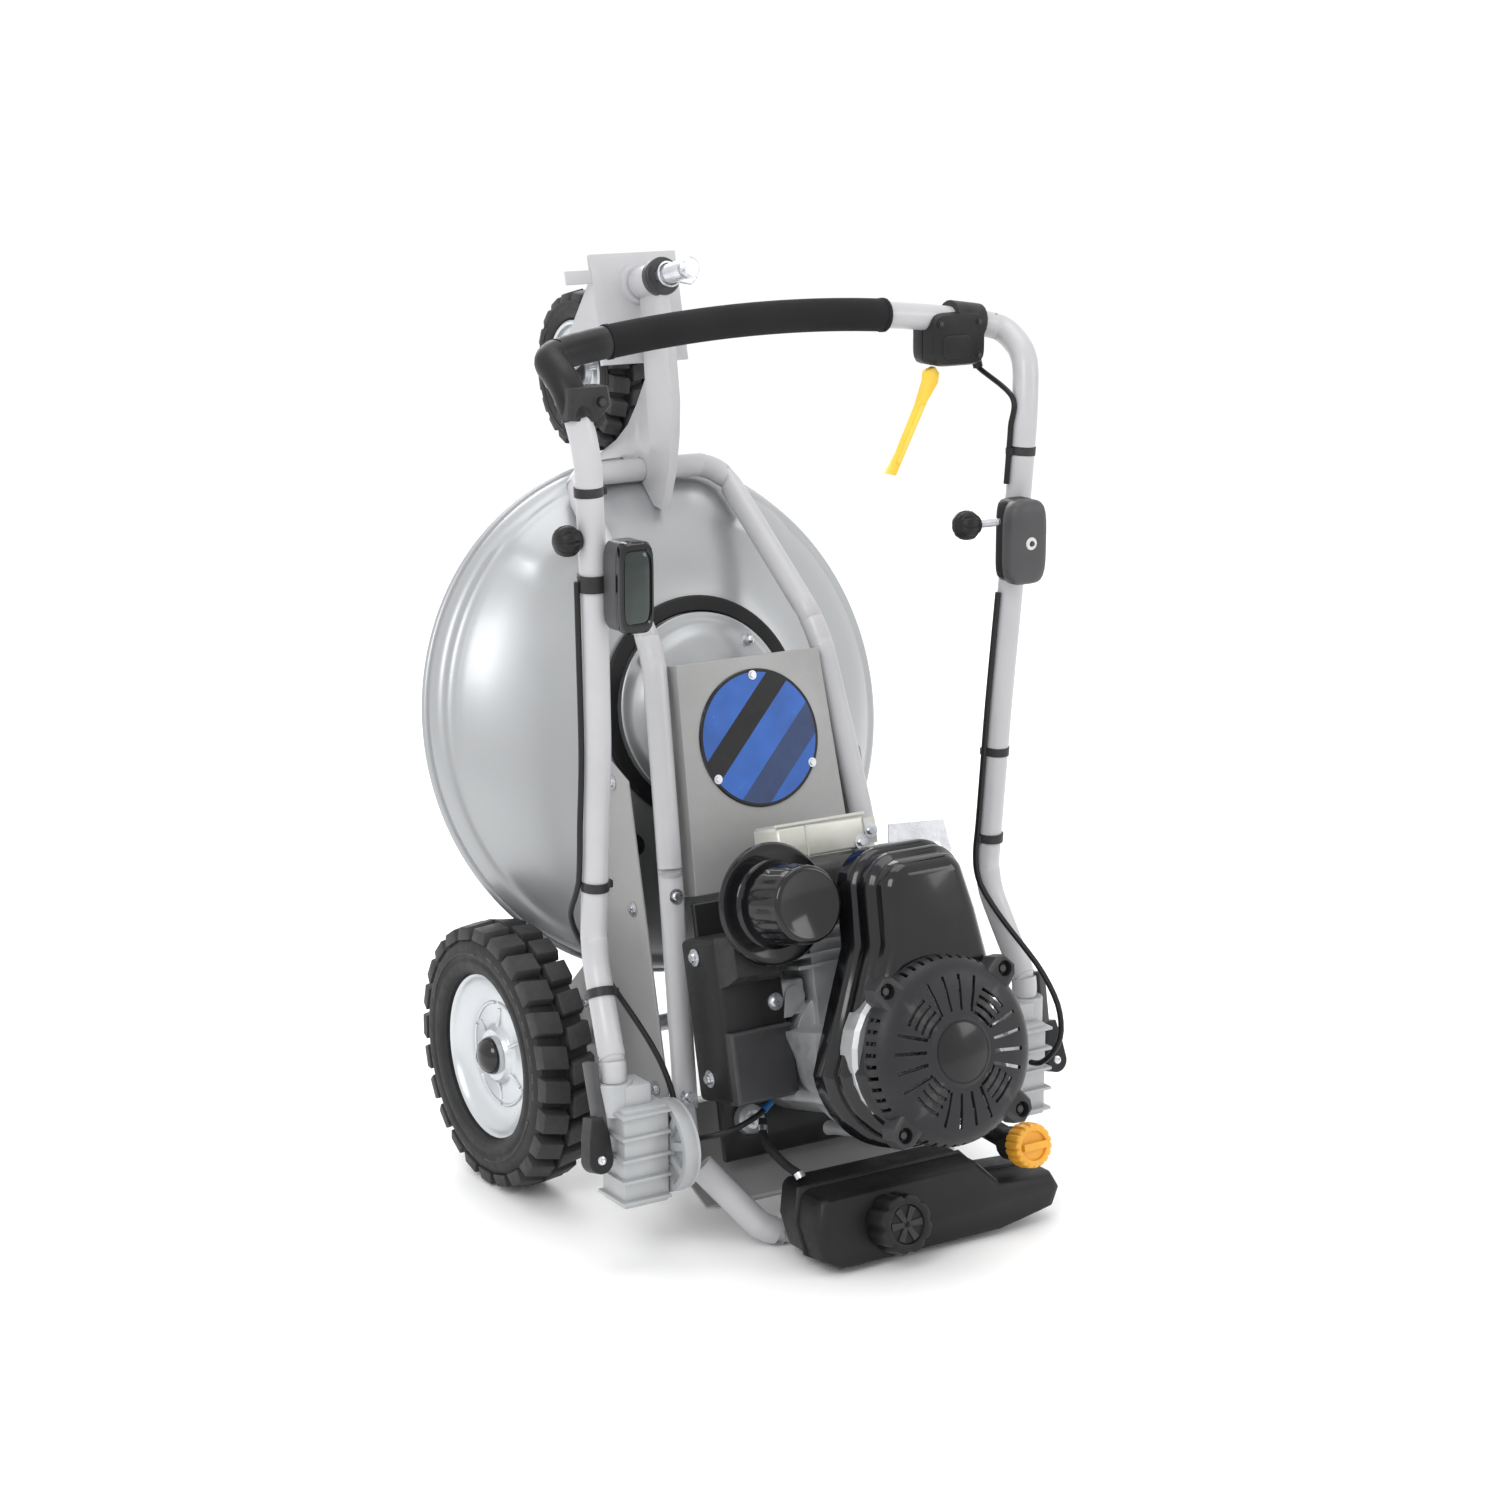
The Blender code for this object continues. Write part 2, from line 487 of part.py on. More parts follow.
# ---- wheels ----
def wheel(names, radius, rim_radius, width, x, parent, bore, outward):
    tyre_name, disc_name = names
    crown, wall = width / 2, width / 2 - 0.004
    bead, shoulder = rim_radius + 0.012, radius - 0.014
    tyre = [(rim_radius + GAP, wall), (bead, crown), (shoulder, crown), (radius, crown - 0.010),
            (radius, 0.010 - crown), (shoulder, -crown), (bead, -crown), (rim_radius + GAP, -wall)]
    attach(turned(tyre_name, tyre, (x, 0, 0), 'X', tyre_rubber, 32), parent)
    dish = [(bore, 0.016), (0.023, 0.016), (0.027, 0.008), (rim_radius * 0.74, 0.008),
            (rim_radius - 0.006, 0.018), (rim_radius, 0.018), (rim_radius, -0.018),
            (rim_radius - 0.009, 0.003), (0.022, 0.003), (0.020, -0.020), (bore, -0.020)]
    if outward < 0:
        dish = [(r, -h) for r, h in reversed(dish)]
    disc = turned(disc_name, dish, (x, 0, 0), 'X', silver_paint, 32)
    attach(disc, parent)


def wheels():
    for side, sign in (("left", -1), ("right", 1)):
        x = sign * REAR_WHEEL_X
        wheel((side + "_tyre", side + "_wheel_disc"), REAR_TYRE_R, REAR_RIM_R, REAR_TYRE_W, x,
              rear_hub, AXLE_R + 0.0005, sign)
    front = ("front_tyre", "front_wheel_disc")
    wheel(front, FRONT_TYRE_R, FRONT_RIM_R, FRONT_TYRE_W, 0, front_hub, 0.0085, -1)

    crown = box("caster_fork", (-0.052, -0.082, 0.2000), (0.052, 0.034, 0.2060), pale_paint)
    boss = rod("boss", (0, 0, 0.2055), 0.0100, 0.0210, 'Z', pale_paint)
    tab = box("tab", (-0.082, 0.004, 0.2010), (-0.050, 0.018, 0.2050), pale_paint)
    legs = []
    hub = (FRONT_Y - CASTER_Y, FRONT_Z)
    for x in (-0.052, 0.048):
        outline = [(-0.060, 0.203), (0.012, 0.203), (-0.040, 0.140)] + arc(hub, 0.018, 20, -200, 8)
        legs.append(plate("leg", [outline], x, 0.004, 'X', pale_paint))
    fork = joined(crown, boss, tab, *legs)
    fork = cut(fork, rod("pin_hole", (0, 0, 0.19), 0.04, 0.0108, 'Z', steel),
               rod("axle_hole", (-0.06, *hub), 0.12, 0.0085, 'X', steel))
    attach(fork, caster)
    pin = rod("caster_pin", (0, 0, 0.1980), 0.1210, 0.0104, 'Z', steel)
    attach(pin, caster)
    attach(rod("front_axle", (-0.060, *hub), 0.120, 0.0080, 'X', steel), caster)


# ---- handle, in its own frame: Y up the folded handle, Z towards the outside of the fold ----
def side_route(sign, shift_x, shift_z, ys):
    """Points beside one handle tube at the given heights."""
    course = [(0.0900, 0.2496, -0.0218), (0.188, 0.238, -0.071), (0.388, 0.240, -0.054),
              (0.538, 0.247, -0.045), (0.660, 0.253, -0.041)]
    route = []
    for y in ys:
        for (y0, x0, z0), (y1, x1, z1) in zip(course, course[1:]):
            if y0 <= y <= y1:
                t = (y - y0) / (y1 - y0)
                route.append((sign * (x0 + (x1 - x0) * t + shift_x), y, z0 + (z1 - z0) * t + shift_z))
                break
    return route


def handle_pieces():
    half = [(-0.2496, 0.0723, -0.0150), (-0.2496, 0.0900, -0.0150), (-0.238, 0.188, -0.071),
            (-0.240, 0.388, -0.054), (-0.247, 0.538, -0.045), (-0.255, 0.685, -0.041),
            (-0.266, 0.742, -0.056), (-0.266, 0.764, -0.096)]
    stations = [i * BAR_STEP for i in range(-6, 7)]
    crossbar = [(x, BAR_Y - BAR_ARCH * x ** 2, BAR_Z) for x in stations]
    side_length = rounded(half + crossbar[:2], 0.030, 3)[:-1]
    route = side_length + crossbar[1:-1] + [(-x, y, z) for x, y, z in reversed(side_length)]
    attach(tube("handle_tube", route, HANDLE_TUBE_R, pale_paint, 2), handle)
    grip = baked(tube("handle_grip", crossbar[1:10], 0.0165, foam_rubber, 3))
    attach(cut(grip, baked(tube("grip_bore", crossbar, HANDLE_TUBE_R + 0.0006, steel, 6))), handle)
    housing = box("control_housing", (0.168, 0.7300, -0.1220), (0.236, 0.7900, -0.0790), black_plastic,
                  0.008, 2)
    housing = cut(housing, baked(tube("bar_bore", route, HANDLE_TUBE_R + 0.0006, steel, 6)))
    attach(housing, handle)

    for side, sign in (("left", -1), ("right", 1)):
        low, high = sorted((sign * HINGE_FACE_X, sign * 0.2620))
        bracket = box(side + "_handle_bracket", (low, -0.052, -0.030), (high, 0.0720, 0.0220), cast_alloy,
                      0.006, 2)
        attach(bracket, handle)


def clamp_levers():
    for side, sign in (("left", -1), ("right", 1)):
        hinge = pivot(side + "_lever_pivot", handle, (sign * LEVER_X, 0, 0), -LEAN)
        cam = rod(side + "_clamp_lever", (0, 0, -0.010), 0.020, 0.0135, 'Z', black_plastic)
        low, high = sorted((sign * -0.002, sign * 0.0125))
        blade = box("blade", (low, 0.0, -0.009), (high, 0.0950, 0.009), grey_plastic, 0.002, 1)
        attach(joined(cam, blade), hinge)


def controls():
    squeeze = pivot("drive_lever_pivot", handle, (0.180, 0.7200, -0.1015))
    boss = rod("drive_lever", (0, 0, -0.0060), 0.0120, 0.0090, 'Z', lever_yellow)
    blade = box("blade", (-0.0045, -0.104, -0.0030), (0.0095, -0.002, 0.0030), lever_yellow, 0.002, 1)
    blade.data.transform(Matrix.Rotation(atan2(-0.0500, 0.0900), 4, 'Z'))
    attach(joined(boss, blade), squeeze)

    attach(box("left_pod", (-0.2465, 0.515, -0.0305), (-0.2110, 0.601, 0.0060), dark_plastic, 0.007, 2),
           handle)
    attach(box("right_pod", (0.2030, 0.516, -0.0300), (0.2490, 0.602, 0.0120), grey_plastic, 0.009, 2),
           handle)
    round_head = [(0.0, 0.0130), (0.0095, 0.0105), (0.0150, 0.0035), (0.0150, -0.0040), (0.0100, -0.0115),
                  (0.0, -0.0130)]
    for name, place, reach in (("left_knob", (-0.2770, 0.6000, -0.0430), 0.0128),
                               ("right_knob", (0.1620, 0.5800, -0.0120), 0.0405)):
        knob_pivot = pivot(name + "_pivot", handle, place)
        head = turned(name, round_head, (0, 0, 0), 'X', black_plastic, 20, closed=False)
        stem = rod("stem", (0, 0, 0), reach, 0.0035, 'X', steel, 12)
        attach(joined(head, stem), knob_pivot)


def cables():
    """The left cable's two lengths meet end to end on the fold axis, where the real one twists."""
    along = side_route(-1, 0.0170, -0.0020, (0.560, 0.480, 0.388, 0.320, 0.260))
    free = [(-0.2540, 0.2250, -0.0870), (-0.2440, 0.2000, -0.0940), (-0.2330, 0.1800, -0.0910),
            (-0.2190, 0.1500, -0.0720), (-0.2030, 0.1100, -0.0400), (-0.1920, 0.0780, -0.0210),
            (-0.1855, 0.0480, -0.0100), (-0.1845, 0.0240, -0.0040), (-0.1838, 0.0100, -0.0012),
            (-0.1820, 0.0020, 0.0), (-0.1792, 0.0, 0.0)]
    attach(tube("left_handle_cable", smooth(along + free, 2), 0.0030, black_plastic, 1), handle)
    lower = [(-0.1772, HINGE_Y, HINGE_Z), (-0.1735, HINGE_Y, HINGE_Z), (-0.1655, 0.2064, 0.3985),
             (-0.1500, 0.2085, 0.4120), (-0.1320, 0.2120, 0.4190), (-0.1050, 0.2200, 0.4180),
             (-0.0860, 0.2290, 0.4120)]
    attach(tube("engine_cable", smooth(lower, 3), 0.0030, black_plastic, 1), machine)
    along = side_route(1, -0.0170, 0.0020, (0.500, 0.388, 0.320, 0.250, 0.215))
    free = [(0.2240, 0.1850, -0.0600), (0.2320, 0.1500, -0.0260), (0.2420, 0.1150, 0.0160),
            (0.2450, 0.0800, 0.0480), (0.2400, 0.0480, 0.0600), (0.2330, 0.0250, 0.0500),
            (0.2310, 0.0150, 0.0360), (0.2310, 0.0120, 0.0230)]
    attach(tube("right_handle_cable", smooth(along + free, 2), 0.0030, black_plastic, 1), handle)
    hose = [(-0.0840, 0.2100, 0.3900), (-0.0900, 0.1960, 0.3960), (-0.0930, 0.1830, 0.4120),
            (-0.0900, 0.1680, 0.4320), (-0.0870, 0.1600, 0.4480), (-0.0860, 0.1545, 0.4520)]
    attach(tube("fuel_hose", smooth(hose, 3), 0.0045, black_plastic, 1), machine)


fan_housing()
fan_and_crank()
chassis()
engine()
wheels()
handle_pieces()
clamp_levers()
controls()
cables()
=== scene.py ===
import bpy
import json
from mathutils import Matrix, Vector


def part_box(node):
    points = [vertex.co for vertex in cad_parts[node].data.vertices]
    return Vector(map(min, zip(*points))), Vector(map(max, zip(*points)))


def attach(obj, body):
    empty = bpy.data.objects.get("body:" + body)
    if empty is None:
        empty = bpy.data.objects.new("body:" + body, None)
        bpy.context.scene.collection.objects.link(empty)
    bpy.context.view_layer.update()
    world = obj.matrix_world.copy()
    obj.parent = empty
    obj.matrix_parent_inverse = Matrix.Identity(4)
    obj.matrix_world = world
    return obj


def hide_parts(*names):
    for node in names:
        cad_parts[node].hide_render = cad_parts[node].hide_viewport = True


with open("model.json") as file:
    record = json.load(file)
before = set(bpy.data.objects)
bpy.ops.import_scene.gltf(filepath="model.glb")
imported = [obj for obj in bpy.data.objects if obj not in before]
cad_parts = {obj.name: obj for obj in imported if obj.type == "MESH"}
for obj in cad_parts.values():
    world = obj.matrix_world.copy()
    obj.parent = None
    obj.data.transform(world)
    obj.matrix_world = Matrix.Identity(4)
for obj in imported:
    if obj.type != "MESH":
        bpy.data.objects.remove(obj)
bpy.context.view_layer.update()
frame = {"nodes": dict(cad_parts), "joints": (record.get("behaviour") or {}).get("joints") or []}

import json
from math import atan2, cos, pi, radians, sin, sqrt
import bmesh
import bpy
from mathutils import Matrix, Vector


# ---- floor, light and camera ----
# A pale studio floor under wide soft boxes. The camera stands front left of the parked machine, a little
# above its middle, and looks slightly down.
floor_size = 60.0
bpy.ops.mesh.primitive_plane_add(size=floor_size)
floor = bpy.context.object
floor.name = "studio_floor"
floor_paint = bpy.data.materials.new("studio_floor")
floor_paint.use_nodes = True
floor_paint.node_tree.nodes["Principled BSDF"].inputs["Base Color"].default_value = (0.96, 0.96, 0.96, 1)
floor_paint.node_tree.nodes["Principled BSDF"].inputs["Roughness"].default_value = 0.6
floor.data.materials.append(floor_paint)

studio = bpy.data.worlds.new("studio")
studio.use_nodes = True
studio.node_tree.nodes["Background"].inputs["Color"].default_value = (1.0, 1.0, 1.0, 1)
studio.node_tree.nodes["Background"].inputs["Strength"].default_value = 1.06
bpy.context.scene.world = studio
bpy.context.scene.view_settings.view_transform = 'Standard'

target = Vector((0.0, 0.0, 0.45))
for name, place, width, power in (("key_light", (-3.2, -2.4, 3.4), 2.0, 75),
                                  ("fill_light", (3.0, -3.0, 2.2), 1.6, 25),
                                  ("top_light", (0.3, 0.2, 4.2), 2.6, 45),
                                  ("back_light", (0.8, 3.6, 2.6), 2.4, 60)):
    bpy.ops.object.light_add(type='AREA', location=place)
    light = bpy.context.object
    light.name = name
    light.data.size = width
    light.data.energy = power
    light.rotation_euler = (target - Vector(place)).to_track_quat('-Z', 'Y').to_euler()

bpy.ops.object.camera_add(location=(-1.7008, -2.7047, 1.2232), rotation=(radians(76.45), 0, radians(-32.38)))
camera = bpy.context.object
camera.data.lens = 76.18
camera.data.sensor_width = 36.0
bpy.context.scene.camera = camera


# ---- fan housing ----
# A deep-drawn steel dome with a stepped shoulder and a rolled rim, sprayed silver. The shoulder carries two
# raised pads at the front, where the frame tube crosses it.
# Everything is drawn in the working stance (X right, Y ahead, Z up) and then laid in the parked one.
joints = {joint["name"]: joint for joint in frame["joints"]}
FAN_Y = 0.620
UP = Vector(joints["fan_spin"]["axis"]).normalized()
AHEAD = UP.cross(Vector((1, 0, 0)))
fan_level = 0.200                      # height of the fan joint's stated point
ground = Vector(joints["fan_spin"]["pos_m"]) - AHEAD * FAN_Y - UP * fan_level
MACHINE = Matrix((Vector((1, 0, 0)), AHEAD, UP)).transposed().to_4x4()
MACHINE.translation = ground
fan_place = MACHINE @ Matrix.Translation((0, FAN_Y, 0))


def take(piece):
    """Make this the only selected object."""
    if bpy.context.mode != 'OBJECT':
        bpy.ops.object.mode_set(mode='OBJECT')
    bpy.ops.object.select_all(action='DESELECT')
    piece.hide_set(False)
    piece.select_set(True)
    bpy.context.view_layer.objects.active = piece
    return piece


def drawn(name, points, edges, faces=()):
    """An object from drawn points."""
    mesh = bpy.data.meshes.new(name)
    mesh.from_pydata([tuple(p) for p in points], edges, faces)
    piece = bpy.data.objects.new(name, mesh)
    bpy.context.scene.collection.objects.link(piece)
    return take(piece)


def turned(name, profile, steps=96, closed=True):
    """A profile of (radius, height) points spun about Z."""
    count = len(profile)
    piece = drawn(name, [(r, 0, z) for r, z in profile],
                  [(i, (i + 1) % count) for i in range(count if closed else count - 1)])
    bpy.ops.object.mode_set(mode='EDIT')
    bpy.ops.mesh.select_all(action='SELECT')
    bpy.ops.mesh.spin(steps=steps, angle=2 * pi, center=(0, 0, 0), axis=(0, 0, 1))
    bpy.ops.mesh.select_all(action='SELECT')
    bpy.ops.mesh.remove_doubles(threshold=0.00002)
    bpy.ops.mesh.normals_make_consistent(inside=False)
    bpy.ops.object.mode_set(mode='OBJECT')
    return piece


def flow(points, steps=6):
    """A smooth curve through every point."""
    knots = [Vector(p) for p in points]
    knots = [knots[0] * 2 - knots[1], *knots, knots[-1] * 2 - knots[-2]]
    route = []
    for a, b, c, d in zip(knots, knots[1:], knots[2:], knots[3:]):
        for i in range(steps):
            t = i / steps
            route.append(0.5 * (b * 2 + (c - a) * t + (a * 2 - b * 5 + c * 4 - d) * t ** 2
                                + (b * 3 - a - c * 3 + d) * t ** 3))
    return route + [knots[-2]]


def arc(centre, radius, start, end, steps):
    """Points on an arc, angles in degrees."""
    turns = [radians(start + (end - start) * i / steps) for i in range(steps + 1)]
    return [(centre[0] + radius * cos(t), centre[1] + radius * sin(t)) for t in turns]


def done(piece, name, stance, material, angle=35):
    """Lay a drawn piece in its stance, with its place in its mesh, and give it its finish."""
    piece.name = piece.data.name = name
    piece.data.transform(stance @ piece.matrix_world)
    piece.matrix_world = Matrix.Identity(4)
    if stance.determinant() < 0:
        piece.data.flip_normals()
    piece.data.materials.clear()
    piece.data.materials.append(material)
    take(piece)
    bpy.ops.object.shade_smooth_by_angle(angle=radians(angle))
    return piece


def surface(name, colour, roughness, metal=0.0, coat=0.0, patch=9.0, shift=0.10, grain=900.0, depth=0.00004,
            dull=0.12, edge=0.0, specular=0.5):
    """Colour that drifts over the piece, roughness in smudges, a fine grain, and edges rubbed bright."""
    material = bpy.data.materials.new(name)
    material.use_nodes = True
    nodes, links = material.node_tree.nodes, material.node_tree.links
    shader = nodes["Principled BSDF"]
    shader.inputs["Metallic"].default_value = metal
    shader.inputs["Coat Weight"].default_value = coat
    shader.inputs["Coat Roughness"].default_value = 0.08
    shader.inputs["Specular IOR Level"].default_value = specular
    place = nodes.new("ShaderNodeTexCoord")

    def noise(scale, detail, rough=0.55):
        made = nodes.new("ShaderNodeTexNoise")
        made.inputs["Scale"].default_value = scale
        made.inputs["Detail"].default_value = detail
        made.inputs["Roughness"].default_value = rough
        links.new(place.outputs["Object"], made.inputs["Vector"])
        return made.outputs["Fac"]

    ramp = nodes.new("ShaderNodeValToRGB")
    ramp.name = "drift"
    ramp.color_ramp.elements[0].position = 0.30
    ramp.color_ramp.elements[1].position = 0.70
    ramp.color_ramp.elements[0].color = (*[c * (1 - shift) for c in colour], 1)
    ramp.color_ramp.elements[1].color = (*[min(1.0, c * (1 + shift) + shift * 0.01) for c in colour], 1)
    links.new(noise(patch, 5), ramp.inputs["Fac"])
    shade = ramp.outputs["Color"]
    if edge:
        rub = nodes.new("ShaderNodeValToRGB")
        rub.color_ramp.elements[0].position = 0.53
        rub.color_ramp.elements[1].position = 0.64
        links.new(nodes.new("ShaderNodeNewGeometry").outputs["Pointiness"], rub.inputs["Fac"])
        worn = nodes.new("ShaderNodeMath")
        worn.operation = 'MULTIPLY'
        links.new(rub.outputs["Color"], worn.inputs[0])
        links.new(noise(60.0, 6, 0.7), worn.inputs[1])
        blend = nodes.new("ShaderNodeMix")
        blend.data_type = 'RGBA'
        links.new(worn.outputs[0], blend.inputs["Factor"])
        links.new(shade, blend.inputs["A"])
        blend.inputs["B"].default_value = (*[min(1.0, c + edge) for c in colour], 1)
        shade = blend.outputs["Result"]
    links.new(shade, shader.inputs["Base Color"])
    smudge = nodes.new("ShaderNodeMapRange")
    smudge.inputs["From Min"].default_value = 0.3
    smudge.inputs["From Max"].default_value = 0.7
    smudge.inputs["To Min"].default_value = max(0.02, roughness - dull * 0.5)
    smudge.inputs["To Max"].default_value = roughness + dull * 0.5
    links.new(noise(patch * 4, 7, 0.65), smudge.inputs["Value"])
    links.new(smudge.outputs["Result"], shader.inputs["Roughness"])
    bump = nodes.new("ShaderNodeBump")
    bump.inputs["Strength"].default_value = 0.6
    bump.inputs["Distance"].default_value = depth
    links.new(noise(grain, 3), bump.inputs["Height"])
    links.new(bump.outputs["Normal"], shader.inputs["Normal"])
    return material


silver = surface("silver_paint", (0.37, 0.38, 0.39), 0.36, metal=0.50, coat=0.15, patch=3, shift=0.03,
                 grain=2200, depth=0.000006, dull=0.04)
DOME_R, shell, roll = 0.2735, 0.0022, 0.0042
crown = flow([(0.080, 0.2300), (0.125, 0.2272), (0.165, 0.2155), (0.200, 0.2005), (0.228, 0.1845),
              (0.246, 0.1705), (0.2545, 0.1620)], 5)
shoulder = flow([(0.2565, 0.1588), (0.2600, 0.1560), (0.2660, 0.1540), (0.2705, 0.1500), (DOME_R, 0.1430),
                 (DOME_R, 0.1385)], 4)
rolled = arc((DOME_R + 0.0005, 0.1325), roll, 90, -200, 14)
outside = [tuple(p) for p in crown + shoulder] + rolled
inside = [(r - shell * 0.8, z - shell) for r, z in reversed([tuple(p) for p in crown + shoulder])]
dome = turned("dome", outside + inside, 144)
pad_turns, pad_half, pad_height = (radians(62), radians(118)), radians(17), 0.0055
for point in dome.data.vertices:
    r, turn = Vector((point.co.x, point.co.y)).length, atan2(point.co.y, point.co.x)
    for middle in pad_turns:
        across = max(0.0, 1 - ((turn - middle) / pad_half) ** 2)
        along = max(0.0, 1 - ((r - 0.240) / 0.030) ** 2)
        point.co.z += pad_height * min(1.0, 2.2 * across * along)
dome = done(dome, "housing_dome", fan_place, silver, 50)
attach(dome, "chassis")
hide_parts("fan_housing")


# ---- base plate ----
# The black pressed plate that closes the housing from below. Two round beads stiffen it, bolts hold it to
# the rim, and its discharge duct has a folded lip.
def rings(middle, sections):
    """A round bead: a tube bent into a ring about Z."""
    radius, thick, height = sections
    bpy.ops.mesh.primitive_torus_add(major_radius=radius, minor_radius=thick, major_segments=96,
                                     minor_segments=12, location=(*middle, height))
    return bpy.context.object


def bolt(place, axis, size=0.0055, height=0.0040, washer=1.75):
    """A hexagon bolt head on its washer: a six-sided drum, chamfered on top, on a thin turned ring."""
    profile = [(0, height + 0.0010), (size * 0.86, height + 0.0010), (size * 0.98, height * 0.82),
               (size, 0.0010), (size * washer, 0.0010), (size * washer, 0.0), (0, 0.0)]
    head = turned("bolt", profile, 30, closed=False)
    for point in head.data.vertices:
        r = Vector((point.co.x, point.co.y)).length
        if point.co.z > 0.0012 and r > size * 0.9:
            turn = atan2(point.co.y, point.co.x) % (pi / 3) - pi / 6
            point.co.x, point.co.y = point.co.x * 0.93 / cos(turn), point.co.y * 0.93 / cos(turn)
    aim = Vector(axis).to_track_quat('Z', 'Y').to_matrix().to_4x4()
    head.data.transform(Matrix.Translation(place) @ aim)
    return head


def together(pieces):
    """Join loose pieces into one object."""
    take(pieces[0])
    for other in pieces[1:]:
        other.select_set(True)
    if len(pieces) > 1:
        bpy.ops.object.join()
    return bpy.context.object


def refined(node, width=0.0015, angle=30, segments=2):
    """A CAD solid's own shape with its triangles merged into whole faces and its edges rounded over."""
    piece = frame["nodes"][node].copy()
    piece.data = frame["nodes"][node].data.copy()
    bpy.context.scene.collection.objects.link(piece)
    for key in list(piece.keys()):
        del piece[key]
    piece.parent = None
    take(piece)
    bpy.ops.object.mode_set(mode='EDIT')
    bpy.ops.mesh.select_all(action='SELECT')
    bpy.ops.mesh.remove_doubles(threshold=0.00002)
    bpy.ops.mesh.dissolve_limited(angle_limit=radians(1.0))
    bpy.ops.object.mode_set(mode='OBJECT')
    if width:
        rounding = piece.modifiers.new("rounding", 'BEVEL')
        rounding.width, rounding.segments, rounding.limit_method = width, segments, 'ANGLE'
        rounding.angle_limit = radians(angle)
        rounding.use_clamp_overlap = True
        bpy.ops.object.modifier_apply(modifier="rounding")
    return piece


def clad(node, name, body, material, width=0.0015, angle=30, shade=40):
    """A rounded-over piece in place of its CAD solid."""
    piece = done(refined(node, width, angle), name, Matrix.Identity(4), material, shade)
    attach(piece, body)
    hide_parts(node)
    return piece


black_paint = surface("black_paint", (0.010, 0.010, 0.011), 0.38, coat=0.1, patch=12, shift=0.25, grain=1500,
                      depth=0.00003, specular=0.28, dull=0.2, edge=0.10)
zinc = surface("zinc_plate", (0.62, 0.63, 0.66), 0.30, metal=0.95, patch=40, shift=0.10, grain=2500,
               depth=0.00002, dull=0.2)
clad("base_plate", "base_plate_cover", "chassis", black_paint, 0.0008)
beads = together([rings((0, FAN_Y), (0.115, 0.0045, 0.1228)), rings((0, FAN_Y), (0.262, 0.0040, 0.1232))])
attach(done(beads, "base_plate_beads", MACHINE, black_paint), "chassis")
plate_bolts = [bolt((0.248 * cos(radians(15 + 30 * i)), FAN_Y + 0.248 * sin(radians(15 + 30 * i)), 0.1237),
                    (0, 0, -1)) for i in range(12)]
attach(done(together(plate_bolts), "base_plate_bolts", MACHINE, zinc), "chassis")


# ---- air intake ----
# A moulded rubber lip lines the intake hole; its black ring is partly painted shade, standing in for the
# shadowed gap under the cap. A pressed silver cap stands over it on four legs, held by plated cap nuts, and
# the cast spindle housing passes through its middle.
rubber = surface("seal_rubber", (0.010, 0.010, 0.011), 0.55, patch=20, shift=0.2, grain=1200, depth=0.00005,
                 specular=0.28)
# The black lip is partly a real rubber seal and partly painted shade: its dark ring also fills the shadowed
# air gap under the cap.
lip = turned("lip", [(0.1048, 0.2352)] + arc((0.1175, 0.2328), 0.0030, 100, -60, 6) + [(0.1190, 0.2302),
             (0.1040, 0.2302), (0.1030, 0.2330)], 96)
lip = done(lip, "intake_lip_and_gap_painted_shade", fan_place, rubber)
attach(lip, "chassis")
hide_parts("intake_ring")

cap_top = flow([(0.0305, 0.2622), (0.045, 0.2612), (0.062, 0.2580), (0.076, 0.2520), (0.086, 0.2450),
                (0.0925, 0.2412), (0.1010, 0.2402)], 5)
cap_pieces = [turned("cap", [tuple(p) for p in cap_top] + [(0.1020, 0.2392), (0.1010, 0.2382)]
                     + [(r - 0.0010, z - 0.0022) for r, z in reversed([tuple(p) for p in cap_top[:-1]])],
                     96)]
for turn in (49, 139, 229, 319):
    x, y = 0.088 * cos(radians(turn)), 0.088 * sin(radians(turn))
    leg = turned("leg", [(0, 0.2440), (0.0055, 0.2440), (0.0055, 0.2330), (0.0085, 0.2303), (0, 0.2303)], 24,
                 False)
    leg.data.transform(Matrix.Translation((x, y, 0)))
    cap_pieces.append(leg)
cap = done(together(cap_pieces), "intake_cap_shell", fan_place, silver, 40)
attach(cap, "chassis")
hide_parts("intake_cap")

nuts = []
for turn in (49, 139, 229, 319):
    x, y = 0.088 * cos(radians(turn)), 0.088 * sin(radians(turn))
    nut = bolt((x, FAN_Y + y, 0.2436), (0, 0, 1), 0.0058, 0.0052, 1.5)
    crown_nut = turned("dome_nut", arc((0, 0.0), 0.0048, 0, 90, 6) + [(0, 0)], 20, False)
    crown_nut.data.transform(Matrix.Translation((x, FAN_Y + y, 0.2496)))
    nuts += [nut, crown_nut]
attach(done(together(nuts), "intake_cap_nuts", MACHINE, zinc, 25), "chassis")

cast = surface("cast_alloy", (0.42, 0.43, 0.44), 0.50, metal=0.75, patch=25, shift=0.12, grain=900,
               depth=0.00018, dull=0.2, edge=0.12)
hub = turned("hub", [(0.0302, 0.2700), (0.0292, 0.2718), (0.0125, 0.2718), (0.0125, 0.1950),
                     (0.0302, 0.1950)], 64)
hub = done(hub, "spindle_hub", fan_place, cast)
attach(hub, "chassis")
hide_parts("spindle_housing")

plug = turned("plug", [(0, 0.0075), (0.0040, 0.0075), (0.0075, 0.0060), (0.0105, 0.0020), (0.0120, 0.0),
                       (0, 0.0)],
              32, False)
plug.data.transform(Matrix.Translation((-0.100, 0.490, 0.2268)) @ Matrix.Rotation(radians(-12), 4, 'X')
                    @ Matrix.Rotation(radians(-9), 4, 'Y'))
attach(done(plug, "housing_plug", MACHINE, rubber), "chassis")


